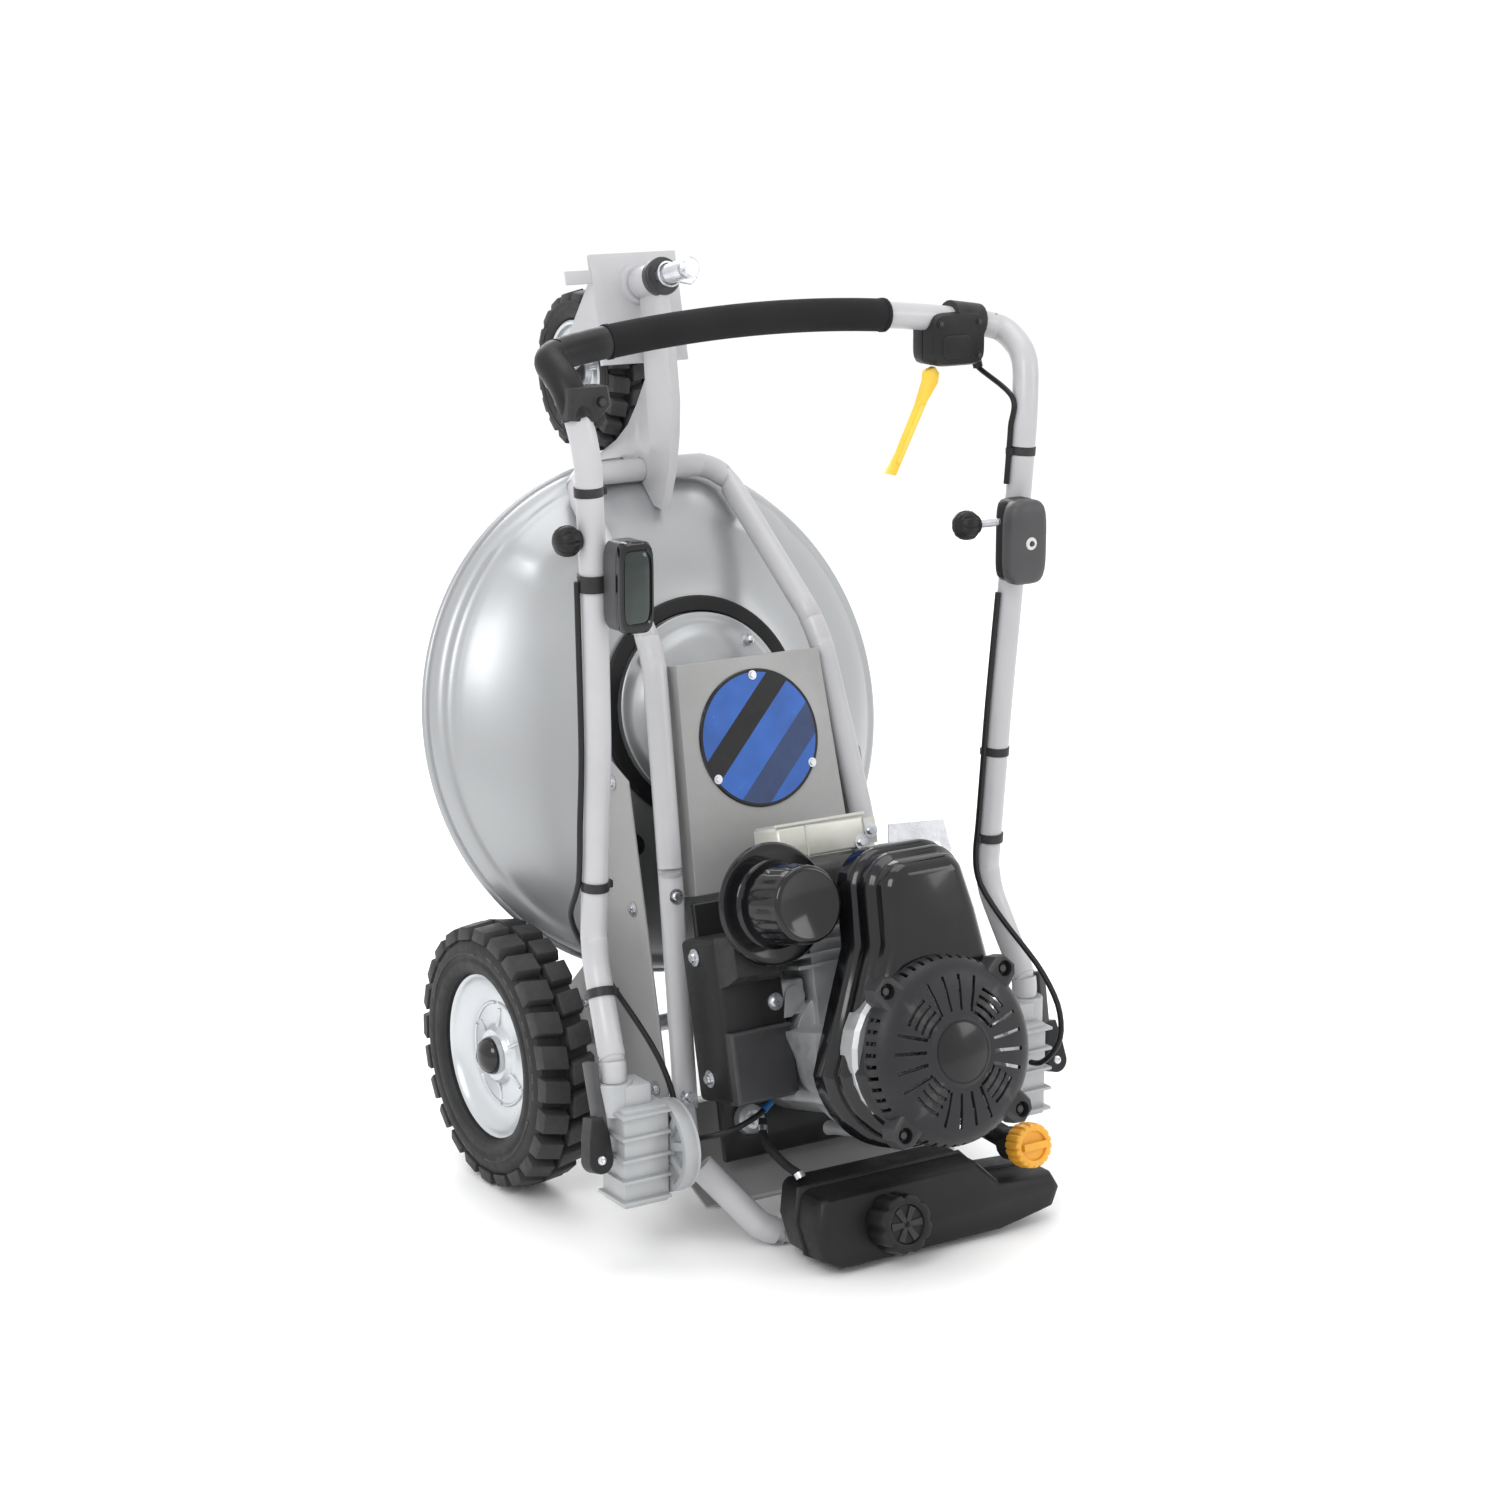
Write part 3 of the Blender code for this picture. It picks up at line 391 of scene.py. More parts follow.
# ---- frame tubes ----
# Bent steel tube, powder coated pale grey with a fine orange peel. Each route is read from its CAD solid,
# ring by ring from one end, and drawn again with a rounder section.
def route_of(node, sides, end):
    """The middle line of a bent tube's CAD solid, starting at the end nearest to a point."""
    work = bmesh.new()
    work.from_mesh(frame["nodes"][node].data)
    bmesh.ops.remove_doubles(work, verts=work.verts, dist=0.00002)
    now = sorted(work.verts, key=lambda v: (v.co - Vector(end)).length)[:sides]
    seen, middles = set(now), []
    while now:
        middles.append(sum((v.co for v in now), Vector()) / len(now))
        near = {e.other_vert(v) for v in now for e in v.link_edges} - seen
        seen |= near
        now = list(near)
    work.free()
    return middles


def tube(name, points, radius, resolution=8, smooth=3):
    """A round bar or tube along a route, with closed ends."""
    curve = bpy.data.curves.new(name, 'CURVE')
    curve.dimensions = '3D'
    curve.bevel_depth, curve.bevel_resolution, curve.use_fill_caps = radius, resolution, True
    line = curve.splines.new('POLY')
    course = flow(points, smooth) if smooth > 1 else points
    line.points.add(len(course) - 1)
    for point, place in zip(line.points, course):
        point.co = (*place, 1)
    piece = bpy.data.objects.new(name, curve)
    bpy.context.scene.collection.objects.link(piece)
    take(piece)
    bpy.ops.object.convert(target='MESH')
    bpy.ops.object.mode_set(mode='EDIT')
    bpy.ops.mesh.select_all(action='SELECT')
    bpy.ops.mesh.remove_doubles(threshold=0.00001)
    bpy.ops.mesh.normals_make_consistent(inside=False)
    bpy.ops.object.mode_set(mode='OBJECT')
    return bpy.context.object


pale = surface("pale_powder_coat", (0.42, 0.42, 0.435), 0.36, coat=0.15, patch=14, shift=0.05, grain=1400,
               depth=0.00005, dull=0.14, edge=0.10)
STILL = Matrix.Identity(4)
for node, name, sides, radius, end in (
        ("hoop_frame", "hoop_tube", 8, 0.0125, MACHINE @ Vector((-0.125, 0.224, 0.310))),
        ("stand_bar", "stand_tube", 10, 0.0140, MACHINE @ Vector((-0.152, 0.174, 0.372)))):
    bar = done(tube(name, route_of(node, sides, end), radius), name, STILL, pale, 50)
    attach(bar, "chassis")
    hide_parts(node)

hoop_ends = [bolt((side * 0.1262, 0.236, 0.3212), (0, 0, 1), 0.0055, 0.0045) for side in (-1, 1)]
hoop_ends += [bolt((side * 0.1218, 0.440, 0.3390), (0, 0, 1), 0.0045, 0.0035) for side in (-1, 1)]
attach(done(together(hoop_ends), "hoop_bolts", MACHINE, zinc, 25), "chassis")


# ---- chassis panels ----
# Folded steel sheet in satin grey: the belt cover, two side plates, the sloping rear panel and the engine's
# black deck. Folded edges are rounded, and screws with washers hold the cover.
grey = surface("grey_satin_paint", (0.27, 0.27, 0.268), 0.42, coat=0.1, patch=8, shift=0.06, grain=1600,
               depth=0.00003, dull=0.16, edge=0.12)
for node, name in (("belt_cover", "belt_cover_shell"), ("left_side_plate", "left_side_panel"),
                   ("right_side_plate", "right_side_panel"), ("rear_panel", "rear_apron")):
    clad(node, name, "chassis", grey, 0.0011)
clad("engine_plate", "engine_deck", "chassis", black_paint, 0.0010)
panel_screws = [bolt((side * 0.1428, y, z), (side, 0, 0), 0.0045, 0.0032)
                for side in (-1, 1) for y, z in ((0.245, 0.285), (0.430, 0.285), (0.560, 0.275),
                                                 (0.330, 0.160))]
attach(done(together(panel_screws), "panel_screws", MACHINE, zinc, 25), "chassis")


# ---- round plate on the belt cover ----
# A printed aluminium disc under clear lacquer, with a plain pattern of blue, deep blue and black stripes.
# Three small screws hold it, and its rim is painted black.
def flat(name, outline, height, thick):
    """A flat outline given thickness."""
    count = len(outline)
    piece = drawn(name, [(x, y, height) for x, y in outline], [], [tuple(range(count))])
    bpy.ops.object.mode_set(mode='EDIT')
    bpy.ops.mesh.select_all(action='SELECT')
    bpy.ops.mesh.extrude_region_move(TRANSFORM_OT_translate={"value": (0, 0, thick)})
    bpy.ops.mesh.select_all(action='SELECT')
    bpy.ops.mesh.normals_make_consistent(inside=False)
    bpy.ops.object.mode_set(mode='OBJECT')
    return piece


BADGE_R, BADGE_Y, print_step = 0.071, 0.586, 0.0001
badge_place = MACHINE @ Matrix.Translation((0, BADGE_Y, 0.3364))
ink_black = surface("print_black", (0.004, 0.004, 0.005), 0.22, coat=0.25, patch=30, shift=0.2, grain=1800,
                    depth=0.00001, specular=0.28)
ink_blue = surface("print_blue", (0.006, 0.075, 0.33), 0.22, coat=0.25, patch=11, shift=0.35, grain=1800,
                   depth=0.00001)
ink_deep = surface("print_deep_blue", (0.006, 0.030, 0.110), 0.22, coat=0.25, patch=18, shift=0.3,
                   grain=1800, depth=0.00001)
disc = turned("disc", [(0, 0.0018), (BADGE_R - 0.0008, 0.0018), (BADGE_R, 0.0010), (BADGE_R, 0.0), (0, 0.0)],
              96, False)
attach(done(disc, "badge_disc", badge_place, ink_black), "chassis")
field_r, level = BADGE_R - 0.0035, 0.0018


def chord(offset_low, offset_high, tilt):
    """The part of the round field between two parallel lines, turned by tilt degrees."""
    low, high = (atan2(sqrt(field_r ** 2 - d ** 2), d) for d in (offset_low, offset_high))
    turn = radians(tilt)
    points = [(field_r * cos(low + (high - low) * i / 8), field_r * sin(low + (high - low) * i / 8))
              for i in range(9)]
    points += [(x, -y) for x, y in reversed(points)]
    return [(x * cos(turn) - y * sin(turn), x * sin(turn) + y * cos(turn)) for x, y in points]


blue = flat("field", arc((0, 0), field_r, 0, 360 - 360 / 72, 71), level, print_step)
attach(done(blue, "badge_field", badge_place, ink_blue), "chassis")
stripe_turn = 135.0
for name, near, far, ink in (("badge_black_stripe", 0.010, 0.034, ink_black),
                             ("badge_deep_stripe", -0.050, -0.022, ink_deep)):
    stripe = flat("stripe", chord(far, near, stripe_turn), level + print_step, print_step)
    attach(done(stripe, name, badge_place, ink), "chassis")
badge_screws = [bolt((x, y - BADGE_Y, 0.0018), (0, 0, 1), 0.0032, 0.0016, 1.5) for x, y in
                ((0.0, 0.6505), (0.0590, 0.5530), (-0.0555, 0.5500))]
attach(done(together(badge_screws), "badge_screws", badge_place, zinc, 25), "chassis")


# ---- rear wheels ----
# Moulded tyres with two rows of chunky staggered lugs, on pressed zinc discs that are stiffened by embossed
# arcs and spokes, with a glossy black cap over each hub. The lugs are rubbed paler at their edges.
def eased(piece, width):
    """Round a piece's edges over."""
    rounding = take(piece).modifiers.new("rounding", 'BEVEL')
    rounding.width, rounding.segments = width, 2
    bpy.ops.object.modifier_apply(modifier="rounding")
    return piece


def tread_block(radius, low_x, high_x, half_turn, deep, lean):
    """One lug: a box that narrows outwards, with rounded edges, standing on the tyre at +Z."""
    middle, half = (low_x + high_x) / 2, (high_x - low_x) / 2
    bpy.ops.mesh.primitive_cube_add(size=2.0)
    lug = bpy.context.object
    lug.data.transform(Matrix.Translation((middle, 0, radius - deep / 2))
                       @ Matrix.Diagonal((half, radius * half_turn, deep / 2, 1)))
    outward = 1 if middle > 0 else -1
    for point in lug.data.vertices:
        if point.co.z > radius - deep / 2:
            point.co.y *= 0.86
            point.co.x -= outward * 0.0025 if (point.co.x - middle) * outward > 0 else 0
        point.co.y += lean * (point.co.x - middle) * outward
        if (point.co.x - middle) * outward > 0 and point.co.z > radius - deep / 2:
            point.co.z -= 0.0035
    eased(lug, 0.0014)
    return lug


def tyre(name, radius, rim, width, count, deep):
    """A tyre about X: a turned carcass with two rows of lugs."""
    crown, base = width / 2, radius - deep
    bead = flow([(rim + 0.0004, crown - 0.006), (rim + 0.004, crown - 0.001), (rim + 0.012, crown + 0.0006),
                 (rim + 0.0165, crown - 0.0012), (rim + 0.021, crown + 0.0004),
                 (base - 0.010, crown - 0.0004), (base - 0.002, crown - 0.0050)], 4)
    side = [(p[0], p[1]) for p in bead]
    groove = [(base, 0.005), (base - 0.0015, 0.0), (base, -0.005)]
    carcass = turned(name, side + groove + [(r, -h) for r, h in reversed(side)], 120)
    carcass.data.transform(Matrix.Rotation(pi / 2, 4, 'Y'))
    pieces, share = [carcass], 2 * pi / count
    for row in (-1, 1):
        first = tread_block(radius, 0.0022, crown - 0.0002, share * 0.36, deep + 0.004, 0.16)
        if row < 0:
            first.data.transform(Matrix.Scale(-1, 4, (1, 0, 0)))
            first.data.flip_normals()
        for i in range(count):
            lug = first.copy()
            lug.data = first.data.copy()
            bpy.context.scene.collection.objects.link(lug)
            lug.data.transform(Matrix.Rotation(share * (i + (0.5 if row > 0 else 0)), 4, 'X'))
            pieces.append(lug)
        bpy.data.objects.remove(first)
    return together(pieces)


def moulded_arcs(radius, x, spans, thick=0.0014):
    """Raised half-round ribs on a tyre's side, each along an arc, in degrees."""
    ribs = []
    for start, end in spans:
        points = [(x, u, v) for u, v in arc((0, 0), radius, start, end, max(2, int((end - start) / 5)))]
        ribs.append(tube("rib", points, thick, 3, 1))
    return ribs


def disc_wheel(rim, outward, bore, spokes, cap):
    """A pressed disc about X, with its open side outward, and its embossed ribs."""
    face = flow([(rim * 0.30, 0.0165), (rim * 0.34, 0.0120), (rim * 0.40, 0.0088), (rim * 0.66, 0.0080),
                 (rim * 0.80, 0.0110), (rim * 0.90, 0.0160), (rim - 0.0045, 0.0215)], 5)
    face = [(bore, 0.0168)] + [(p[0], p[1]) for p in face]
    lip = [(rim - 0.0020, 0.0228), (rim + 0.0002, 0.0212), (rim + 0.0002, -0.0200), (rim - 0.0022, -0.0215)]
    back = [(r, h - 0.0022) for r, h in reversed(face)]
    disc = turned("disc", face + lip + [(rim - 0.0028, 0.0120)] + back[1:], 96)
    ribs = []
    for i in range(spokes):
        turn = 360 / spokes * i
        c, s = cos(radians(turn)), sin(radians(turn))
        ribs.append(tube("spoke", [(rim * k * c, rim * k * s, h)
                                   for k, h in ((0.34, 0.0112), (0.46, 0.0082), (0.56, 0.0078))],
                         0.0022, 4, 3))
        ribs.append(tube("arc_rib", [(u, v, 0.0081)
                                     for u, v in arc((0, 0), rim * 0.62, turn + 10, turn + 62, 8)],
                         0.0020, 4, 1))
    wheel = together([disc] + ribs)
    if cap:
        hub = turned("hub", [(0, 0.020), (0.0195, 0.020), (0.0205, 0.0165), (0, 0.0165)], 48, False)
        wheel = together([wheel, hub])
    wheel.data.transform(Matrix.Rotation(pi / 2 * outward, 4, 'Y'))
    return wheel


tyre_black = surface("tyre_rubber", (0.014, 0.014, 0.015), 0.62, patch=22, shift=0.30, grain=700,
                     depth=0.00010, dull=0.22, edge=0.10, specular=0.35)
disc_zinc = surface("pressed_zinc", (0.58, 0.60, 0.62), 0.34, metal=0.8, coat=0.1, patch=12, shift=0.05,
                    grain=1500, depth=0.00003, dull=0.16)
cap_black = surface("hub_cap_black", (0.006, 0.006, 0.007), 0.16, coat=0.5, patch=15, shift=0.2, grain=1500,
                    depth=0.00002, specular=0.28)
for side, sign in (("left", -1), ("right", 1)):
    low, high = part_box(side + "_tyre")
    middle = Matrix.Translation((low + high) / 2)
    radius, width = (high.z - low.z) / 2, high.x - low.x
    rim = (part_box(side + "_wheel_disc")[1].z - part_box(side + "_wheel_disc")[0].z) / 2
    rubber_ring = [tyre(side, radius, rim, width, 24, 0.0125)]
    for face in (-1, 1):
        rubber_ring += moulded_arcs(rim + 0.0215, face * (width / 2 + 0.0002), ((20, 86), (200, 266)))
        ticks = [(a, a + 5) for first in (100, 280) for a in range(first, first + 86, 9)]
        rubber_ring += moulded_arcs(rim + 0.0265, face * (width / 2 - 0.0006), ticks)
    ring = done(together(rubber_ring), side + "_tread_tyre", middle, tyre_black, 30)
    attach(ring, side + "_wheel")
    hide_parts(side + "_tyre")
    wheel = done(disc_wheel(rim, sign, 0.0108, 6, True), side + "_pressed_wheel", middle, disc_zinc, 35)
    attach(wheel, side + "_wheel")
    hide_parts(side + "_wheel_disc")
    dome_cap = turned("cap", [(0, 0.0335), (0.0080, 0.0325), (0.0145, 0.0290), (0.0185, 0.0245),
                              (0.0200, 0.0202), (0.0200, 0.0196), (0, 0.0196)], 48, False)
    dome_cap.data.transform(Matrix.Rotation(pi / 2 * sign, 4, 'Y'))
    dome_cap = done(dome_cap, side + "_hub_cap", middle, cap_black)
    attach(dome_cap, side + "_wheel")
axle_nodes = {"rear_axle": ("rear_axle_bar", "chassis", "steel"),
              "caster_pin": ("swivel_pin", "caster", "steel"),
              "front_axle": ("front_axle_bolt", "caster", "steel")}
for node, (name, body, slot) in axle_nodes.items():
    clad(node, name, body, zinc, 0.0010, 60)


# ---- front caster ----
# A flat-bar gusset and swivel sleeve welded to the frame tube, and a folded fork below it with the small
# wheel. A washer, a spring clip and welds show round the pin, and the axle has flanged nuts.
CASTER_Y, HUB_Y, HUB_Z = 1.072, 0.998, 0.087
pin_place = MACHINE @ Matrix.Translation((0, CASTER_Y, 0))
clad("caster_arm", "caster_gusset", "chassis", pale, 0.0011, 40)
clad("caster_fork", "caster_fork_frame", "caster", pale, 0.0010, 40)
low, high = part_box("front_tyre")
rim = 0.055
middle = MACHINE @ Matrix.Translation((0, HUB_Y, HUB_Z))
small = [tyre("front", 0.088, rim, high.x - low.x, 20, 0.0095)]
for face in (-1, 1):
    small += moulded_arcs(rim + 0.0150, face * 0.0232, ((30, 140), (210, 320)), 0.0011)
small = done(together(small), "front_tread_tyre", middle, tyre_black, 30)
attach(small, "front_wheel")
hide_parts("front_tyre")
wheel = done(disc_wheel(rim, -1, 0.0088, 5, False), "front_pressed_wheel", middle, disc_zinc, 35)
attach(wheel, "front_wheel")
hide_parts("front_wheel_disc")
hub_tube = turned("hub_tube", [(0.0088, 0.030), (0.0140, 0.030), (0.0140, -0.030), (0.0088, -0.030)], 40)
hub_tube.data.transform(Matrix.Rotation(pi / 2, 4, 'Y'))
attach(done(hub_tube, "front_hub_tube", middle, black_paint), "front_wheel")
axle_nuts = [bolt((side * 0.0525, HUB_Y, HUB_Z), (side, 0, 0), 0.0085, 0.0065, 1.35) for side in (-1, 1)]
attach(done(together(axle_nuts), "front_axle_nuts", MACHINE, zinc, 25), "caster")
red = surface("red_cap_plastic", (0.42, 0.035, 0.030), 0.45, patch=40, shift=0.15, grain=1500, depth=0.00004)
stop = bolt((-0.030, HUB_Y - 0.030, HUB_Z - 0.020), (-1, 0, 0), 0.0055, 0.006, 1.2)
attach(done(stop, "valve_cap", MACHINE, red), "front_wheel")
washer = turned("washer", [(0.0106, 0.2640), (0.0190, 0.2640), (0.0200, 0.2630), (0.0200, 0.2625),
                           (0.0106, 0.2625)], 48)
sleeve_ring = turned("ring", [(0.0172, 0.2600), (0.0196, 0.2590), (0.0196, 0.2520), (0.0172, 0.2510)], 48)
washers = done(together([washer, sleeve_ring]), "swivel_washers", pin_place, black_paint)
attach(washers, "chassis")
pin_cap = turned("pin_cap", [(0, 0.3210), (0.0085, 0.3205), (0.0112, 0.3180), (0.0112, 0.3120),
                             (0.0106, 0.3105), (0, 0.3105)], 40, False)
clip = tube("clip", [(0.0128 * cos(t / 10), 0.0128 * sin(t / 10), 0.2720 + 0.0001 * t) for t in range(0, 56)]
            + [(0.022, -0.012, 0.2790), (0.030, -0.006, 0.2800), (0.022, 0.004, 0.2800)], 0.0011, 3, 1)
fittings = done(together([pin_cap, clip]), "swivel_pin_clip", pin_place, zinc)
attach(fittings, "caster")


# ---- engine cowl ----
# A black enamelled pressing over the flywheel: a round drum with two rolled steps that runs forward into
# straight walls over the cylinder.
def loft(name, sections):
    """A skin through rings of equal count, closed at both ends."""
    count = len(sections[0])
    points = [p for section in sections for p in section]
    faces = [(k * count + i, k * count + (i + 1) % count, (k + 1) * count + (i + 1) % count,
              (k + 1) * count + i)
             for k in range(len(sections) - 1) for i in range(count)]
    faces += [tuple(range(count)), tuple(range(len(points) - count, len(points)))]
    piece = drawn(name, points, [], faces)
    bpy.ops.object.mode_set(mode='EDIT')
    bpy.ops.mesh.select_all(action='SELECT')
    bpy.ops.mesh.normals_make_consistent(inside=False)
    bpy.ops.object.mode_set(mode='OBJECT')
    return piece


def cut(piece, cutter):
    """Cut a shape out of a piece."""
    hole = take(piece).modifiers.new("hole", 'BOOLEAN')
    hole.operation, hole.solver, hole.object = 'DIFFERENCE', 'EXACT', cutter
    bpy.ops.object.modifier_apply(modifier="hole")
    bpy.data.objects.remove(cutter)
    return piece


CRANK_Y, COWL_X = 0.270, 0.018
crank_place = MACHINE @ Matrix.Translation((COWL_X, CRANK_Y, 0))
gloss = surface("black_enamel", (0.004, 0.004, 0.005), 0.14, coat=0.35, patch=8, shift=0.2, grain=260,
                depth=0.00006, specular=0.28, dull=0.10)


def cowl_outline(grow, height):
    rear = arc((0.005, CRANK_Y), 0.096 + grow, 185, 355, 48)
    front = arc((0.052, 0.436), 0.036 + grow, 18, 95, 16) + arc((0.006, 0.428), 0.044 + grow, 95, 170, 16)
    wall = [(0.1035 + grow, 0.300), (0.106 + grow, 0.345), (0.097 + grow, 0.400)]
    return [(x, y, height) for x, y in rear + wall + front
            + [(-0.040 - grow, 0.380), (-0.062 - grow, 0.330)]]


steps = [(-0.0030, 0.5055), (0.0000, 0.5050), (0.0, 0.5200), (-0.0008, 0.5250), (-0.0035, 0.5285),
         (-0.0065, 0.5305),
         (-0.0072, 0.5345), (-0.0060, 0.5375), (-0.0062, 0.5440), (-0.0085, 0.5490), (-0.0125, 0.5515),
         (-0.0140, 0.5550), (-0.0145, 0.5600), (-0.0180, 0.5665), (-0.0235, 0.5710), (-0.0300, 0.5728)]
cowl = loft("cowl", [cowl_outline(grow, height) for grow, height in steps])
hollow = loft("hollow", [cowl_outline(grow - 0.0025, height - 0.0025)
                         for grow, height in [(0.0, 0.5000)] + steps[1:]])
cowl = cut(cowl, hollow)
bpy.ops.mesh.primitive_cylinder_add(radius=0.070, depth=0.10, vertices=64, location=(COWL_X, CRANK_Y, 0.56))
cowl = done(cut(cowl, bpy.context.object), "engine_cowl", MACHINE, gloss, 40)
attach(cowl, "chassis")
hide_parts("engine_shroud")


# ---- starter cover ----
# A moulded dark grey cover with four bolted ears. Slots let the cooling air in: fans of straight slots
# between the ears, short arcs in line with them, and a row of louvres round the side.
def slot_box(inner, outer, half, turn, shift=0.0, low=0.590, high=0.615):
    """A straight slot that points away from the middle."""
    bpy.ops.mesh.primitive_cube_add(size=1.0)
    box = bpy.context.object
    box.data.transform(Matrix.Rotation(radians(turn), 4, 'Z')
                       @ Matrix.Translation(((inner + outer) / 2, shift, (low + high) / 2))
                       @ Matrix.Diagonal((outer - inner, half * 2, high - low, 1)))
    return box


def slot_arc(radius, half, turn, spread):
    """A slot along an arc, as a bent strip."""
    outline = arc((0, 0), radius + half, turn - spread, turn + spread, 8)
    outline += arc((0, 0), radius - half, turn + spread, turn - spread, 8)
    return flat("slot", outline, 0.588, 0.030)


dark = surface("starter_plastic", (0.016, 0.016, 0.018), 0.42, patch=14, shift=0.14, grain=1100,
               depth=0.00007, specular=0.28, dull=0.14, edge=0.05)
bell = [(0.0300, 0.6052), (0.0310, 0.6060), (0.0335, 0.6046), (0.0350, 0.6035), (0.0600, 0.6022),
        (0.0740, 0.6000),
        (0.0820, 0.5968), (0.0880, 0.5920), (0.0915, 0.5870), (0.0930, 0.5820), (0.0930, 0.5738)]
under = [(0.0900, 0.5738), (0.0900, 0.5815), (0.0885, 0.5860), (0.0850, 0.5905), (0.0800, 0.5940),
         (0.0730, 0.5970), (0.0590, 0.5990), (0.0300, 0.6000)]
cover = turned("cover", [(0.0, 0.6052)] + bell + under + [(0.0, 0.6000)], 120, False)
cutters = []
for quarter in range(4):
    cutters += [slot_box(0.040, 0.0745, 0.00165, quarter * 90 + lean, lean * 0.00028)
                for lean in (-18, -6, 6, 18)]
    cutters += [slot_arc(0.0405 + 0.0082 * i, 0.00165, quarter * 90 + 45, 17 - i * 1.2) for i in range(4)]
    cutters += [slot_box(0.080, 0.100, 0.0019, quarter * 90 + lean, 0, 0.5775, 0.5895)
                for lean in range(-28, 29, 7)]
cover = cut(cover, together(cutters))
ears = []
for quarter in range(4):
    turn = Matrix.Rotation(radians(45 + 90 * quarter), 4, 'Z')
    ear = loft("ear", [[(x, y, z)
                        for x, y in ((0.0745 - cut_in, -0.0165 + cut_in), (0.1010, -0.0150 + cut_in),
                        (0.1095 - cut_in, -0.0075), (0.1095 - cut_in, 0.0075), (0.1010, 0.0150 - cut_in),
                        (0.0745 - cut_in, 0.0165 - cut_in))]
                       for cut_in, z in ((0.0, 0.5738), (0.0, 0.5890), (0.0010, 0.5925), (0.0028, 0.5940))])
    bpy.ops.mesh.primitive_cylinder_add(radius=0.0078, depth=0.020, vertices=32,
                                        location=(0.0980, 0, 0.5960))
    ear = cut(ear, bpy.context.object)
    ear.data.transform(turn)
    ears.append(ear)
cover = done(together([cover] + ears), "starter_cover", crank_place, dark, 30)
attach(cover, "chassis")
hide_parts("recoil_cover")
ear_bolts = [bolt((COWL_X + 0.098 * cos(t), CRANK_Y + 0.098 * sin(t), 0.5862), (0, 0, 1), 0.0042, 0.0035,
                  1.4)
             for t in (pi / 4, 3 * pi / 4, 5 * pi / 4, 7 * pi / 4)]
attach(done(together(ear_bolts), "starter_bolts", MACHINE, black_paint, 25), "chassis")
middle_disc = turned("disc", [(0, 0.6064), (0.0278, 0.6064), (0.0288, 0.6058), (0.0288, 0.6050),
                              (0, 0.6050)], 64, False)
middle_disc = done(middle_disc, "starter_centre", crank_place, ink_black)
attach(middle_disc, "chassis")


# ---- engine body ----
# Cast crankcase and finned barrel with a rough sand-cast skin, a steel silencer under a pressed guard
# creased down its middle, and a polished heat shield beside it.
clad("engine_block", "engine_casting", "chassis", cast, 0.0008, 50)
clad("muffler", "silencer_box", "chassis", black_paint, 0.0, 30)
guard_steel = surface("guard_steel", (0.52, 0.52, 0.47), 0.38, metal=0.35, coat=0.1, patch=16, shift=0.08,
                      grain=1300, depth=0.00005, dull=0.2, edge=0.06)
clad("muffler_guard", "silencer_guard", "chassis", guard_steel, 0.0012, 40)
crease = together([tube("crease", [(-0.018, y, 0.4322) for y in (0.466, 0.481, 0.4965)], 0.0010, 3, 1),
                   flat("lip", [(-0.054, 0.4985), (0.054, 0.4985), (0.054, 0.5010), (-0.054, 0.5010)],
                        0.4290, 0.0025),
                   flat("tab", [(0.052, 0.468), (0.066, 0.468), (0.066, 0.494), (0.052, 0.494)], 0.4295,
                        0.0018)])
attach(done(crease, "silencer_guard_folds", MACHINE, guard_steel), "chassis")
guard_bolts = [bolt((x, y, z), (0, 0, 1), 0.0045, 0.0035) for x, y, z in
               ((0.059, 0.481, 0.4313), (-0.046, 0.471, 0.4320), (0.046, 0.471, 0.4320))]
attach(done(together(guard_bolts), "silencer_bolts", MACHINE, zinc, 25), "chassis")
shield = loft("shield", [[(x, y, z + rise) for x, y, rise in ((0.056, 0.425, 0.0), (0.108, 0.425, 0.002),
              (0.134, 0.450, 0.004), (0.130, 0.482, 0.002), (0.064, 0.486, 0.0))] for z in (0.4560, 0.4576)])
bpy.ops.mesh.primitive_cylinder_add(radius=0.006, depth=0.02, vertices=24, location=(0.118, 0.455, 0.458))
shield = cut(shield, bpy.context.object)
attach(done(shield, "heat_shield", MACHINE, zinc), "chassis")
case_bolts = [bolt((0.064 * cos(t), CRANK_Y + 0.064 * sin(t), 0.4393), (0, 0, 1), 0.0048, 0.0042)
              for t in (radians(a) for a in (15, 65, 165, 215, 265, 315))]
feet = []
for x, y in ((-0.072, 0.205), (0.072, 0.205), (-0.072, 0.340), (0.072, 0.340)):
    foot = turned("foot", [(0, 0.3500), (0.0120, 0.3500), (0.0150, 0.3480), (0.0160, 0.3393), (0, 0.3393)],
                  32, False)
    foot.data.transform(Matrix.Translation((x, y, 0)))
    feet.append(foot)
    case_bolts.append(bolt((x, y, 0.3500), (0, 0, 1), 0.0055, 0.0050))
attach(done(together(feet), "engine_feet", MACHINE, cast), "chassis")
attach(done(together(case_bolts), "engine_bolts", MACHINE, zinc, 25), "chassis")
cowl_posts = []
for turn in (205, 248, 292, 335):
    x, y = 0.005 + 0.090 * cos(radians(turn)), CRANK_Y + 0.090 * sin(radians(turn))
    post = turned("post", [(0, 0.5052), (0.0062, 0.5052), (0.0062, 0.4300), (0.0075, 0.4200), (0, 0.4200)],
                  24, False)
    post.data.transform(Matrix.Translation((x * 0.93, CRANK_Y + (y - CRANK_Y) * 0.93, 0)))
    cowl_posts.append(post)
web = loft("web", [[(x, y, z) for x, y in arc((0.004, CRANK_Y), r, 180, 360, 32)
                    + [(0.080, 0.300), (-0.080, 0.300)]]
                   for r, z in ((0.060, 0.4300), (0.074, 0.4420), (0.084, 0.4700), (0.088, 0.5000),
                                (0.089, 0.5040))])
cowl_posts.append(web)
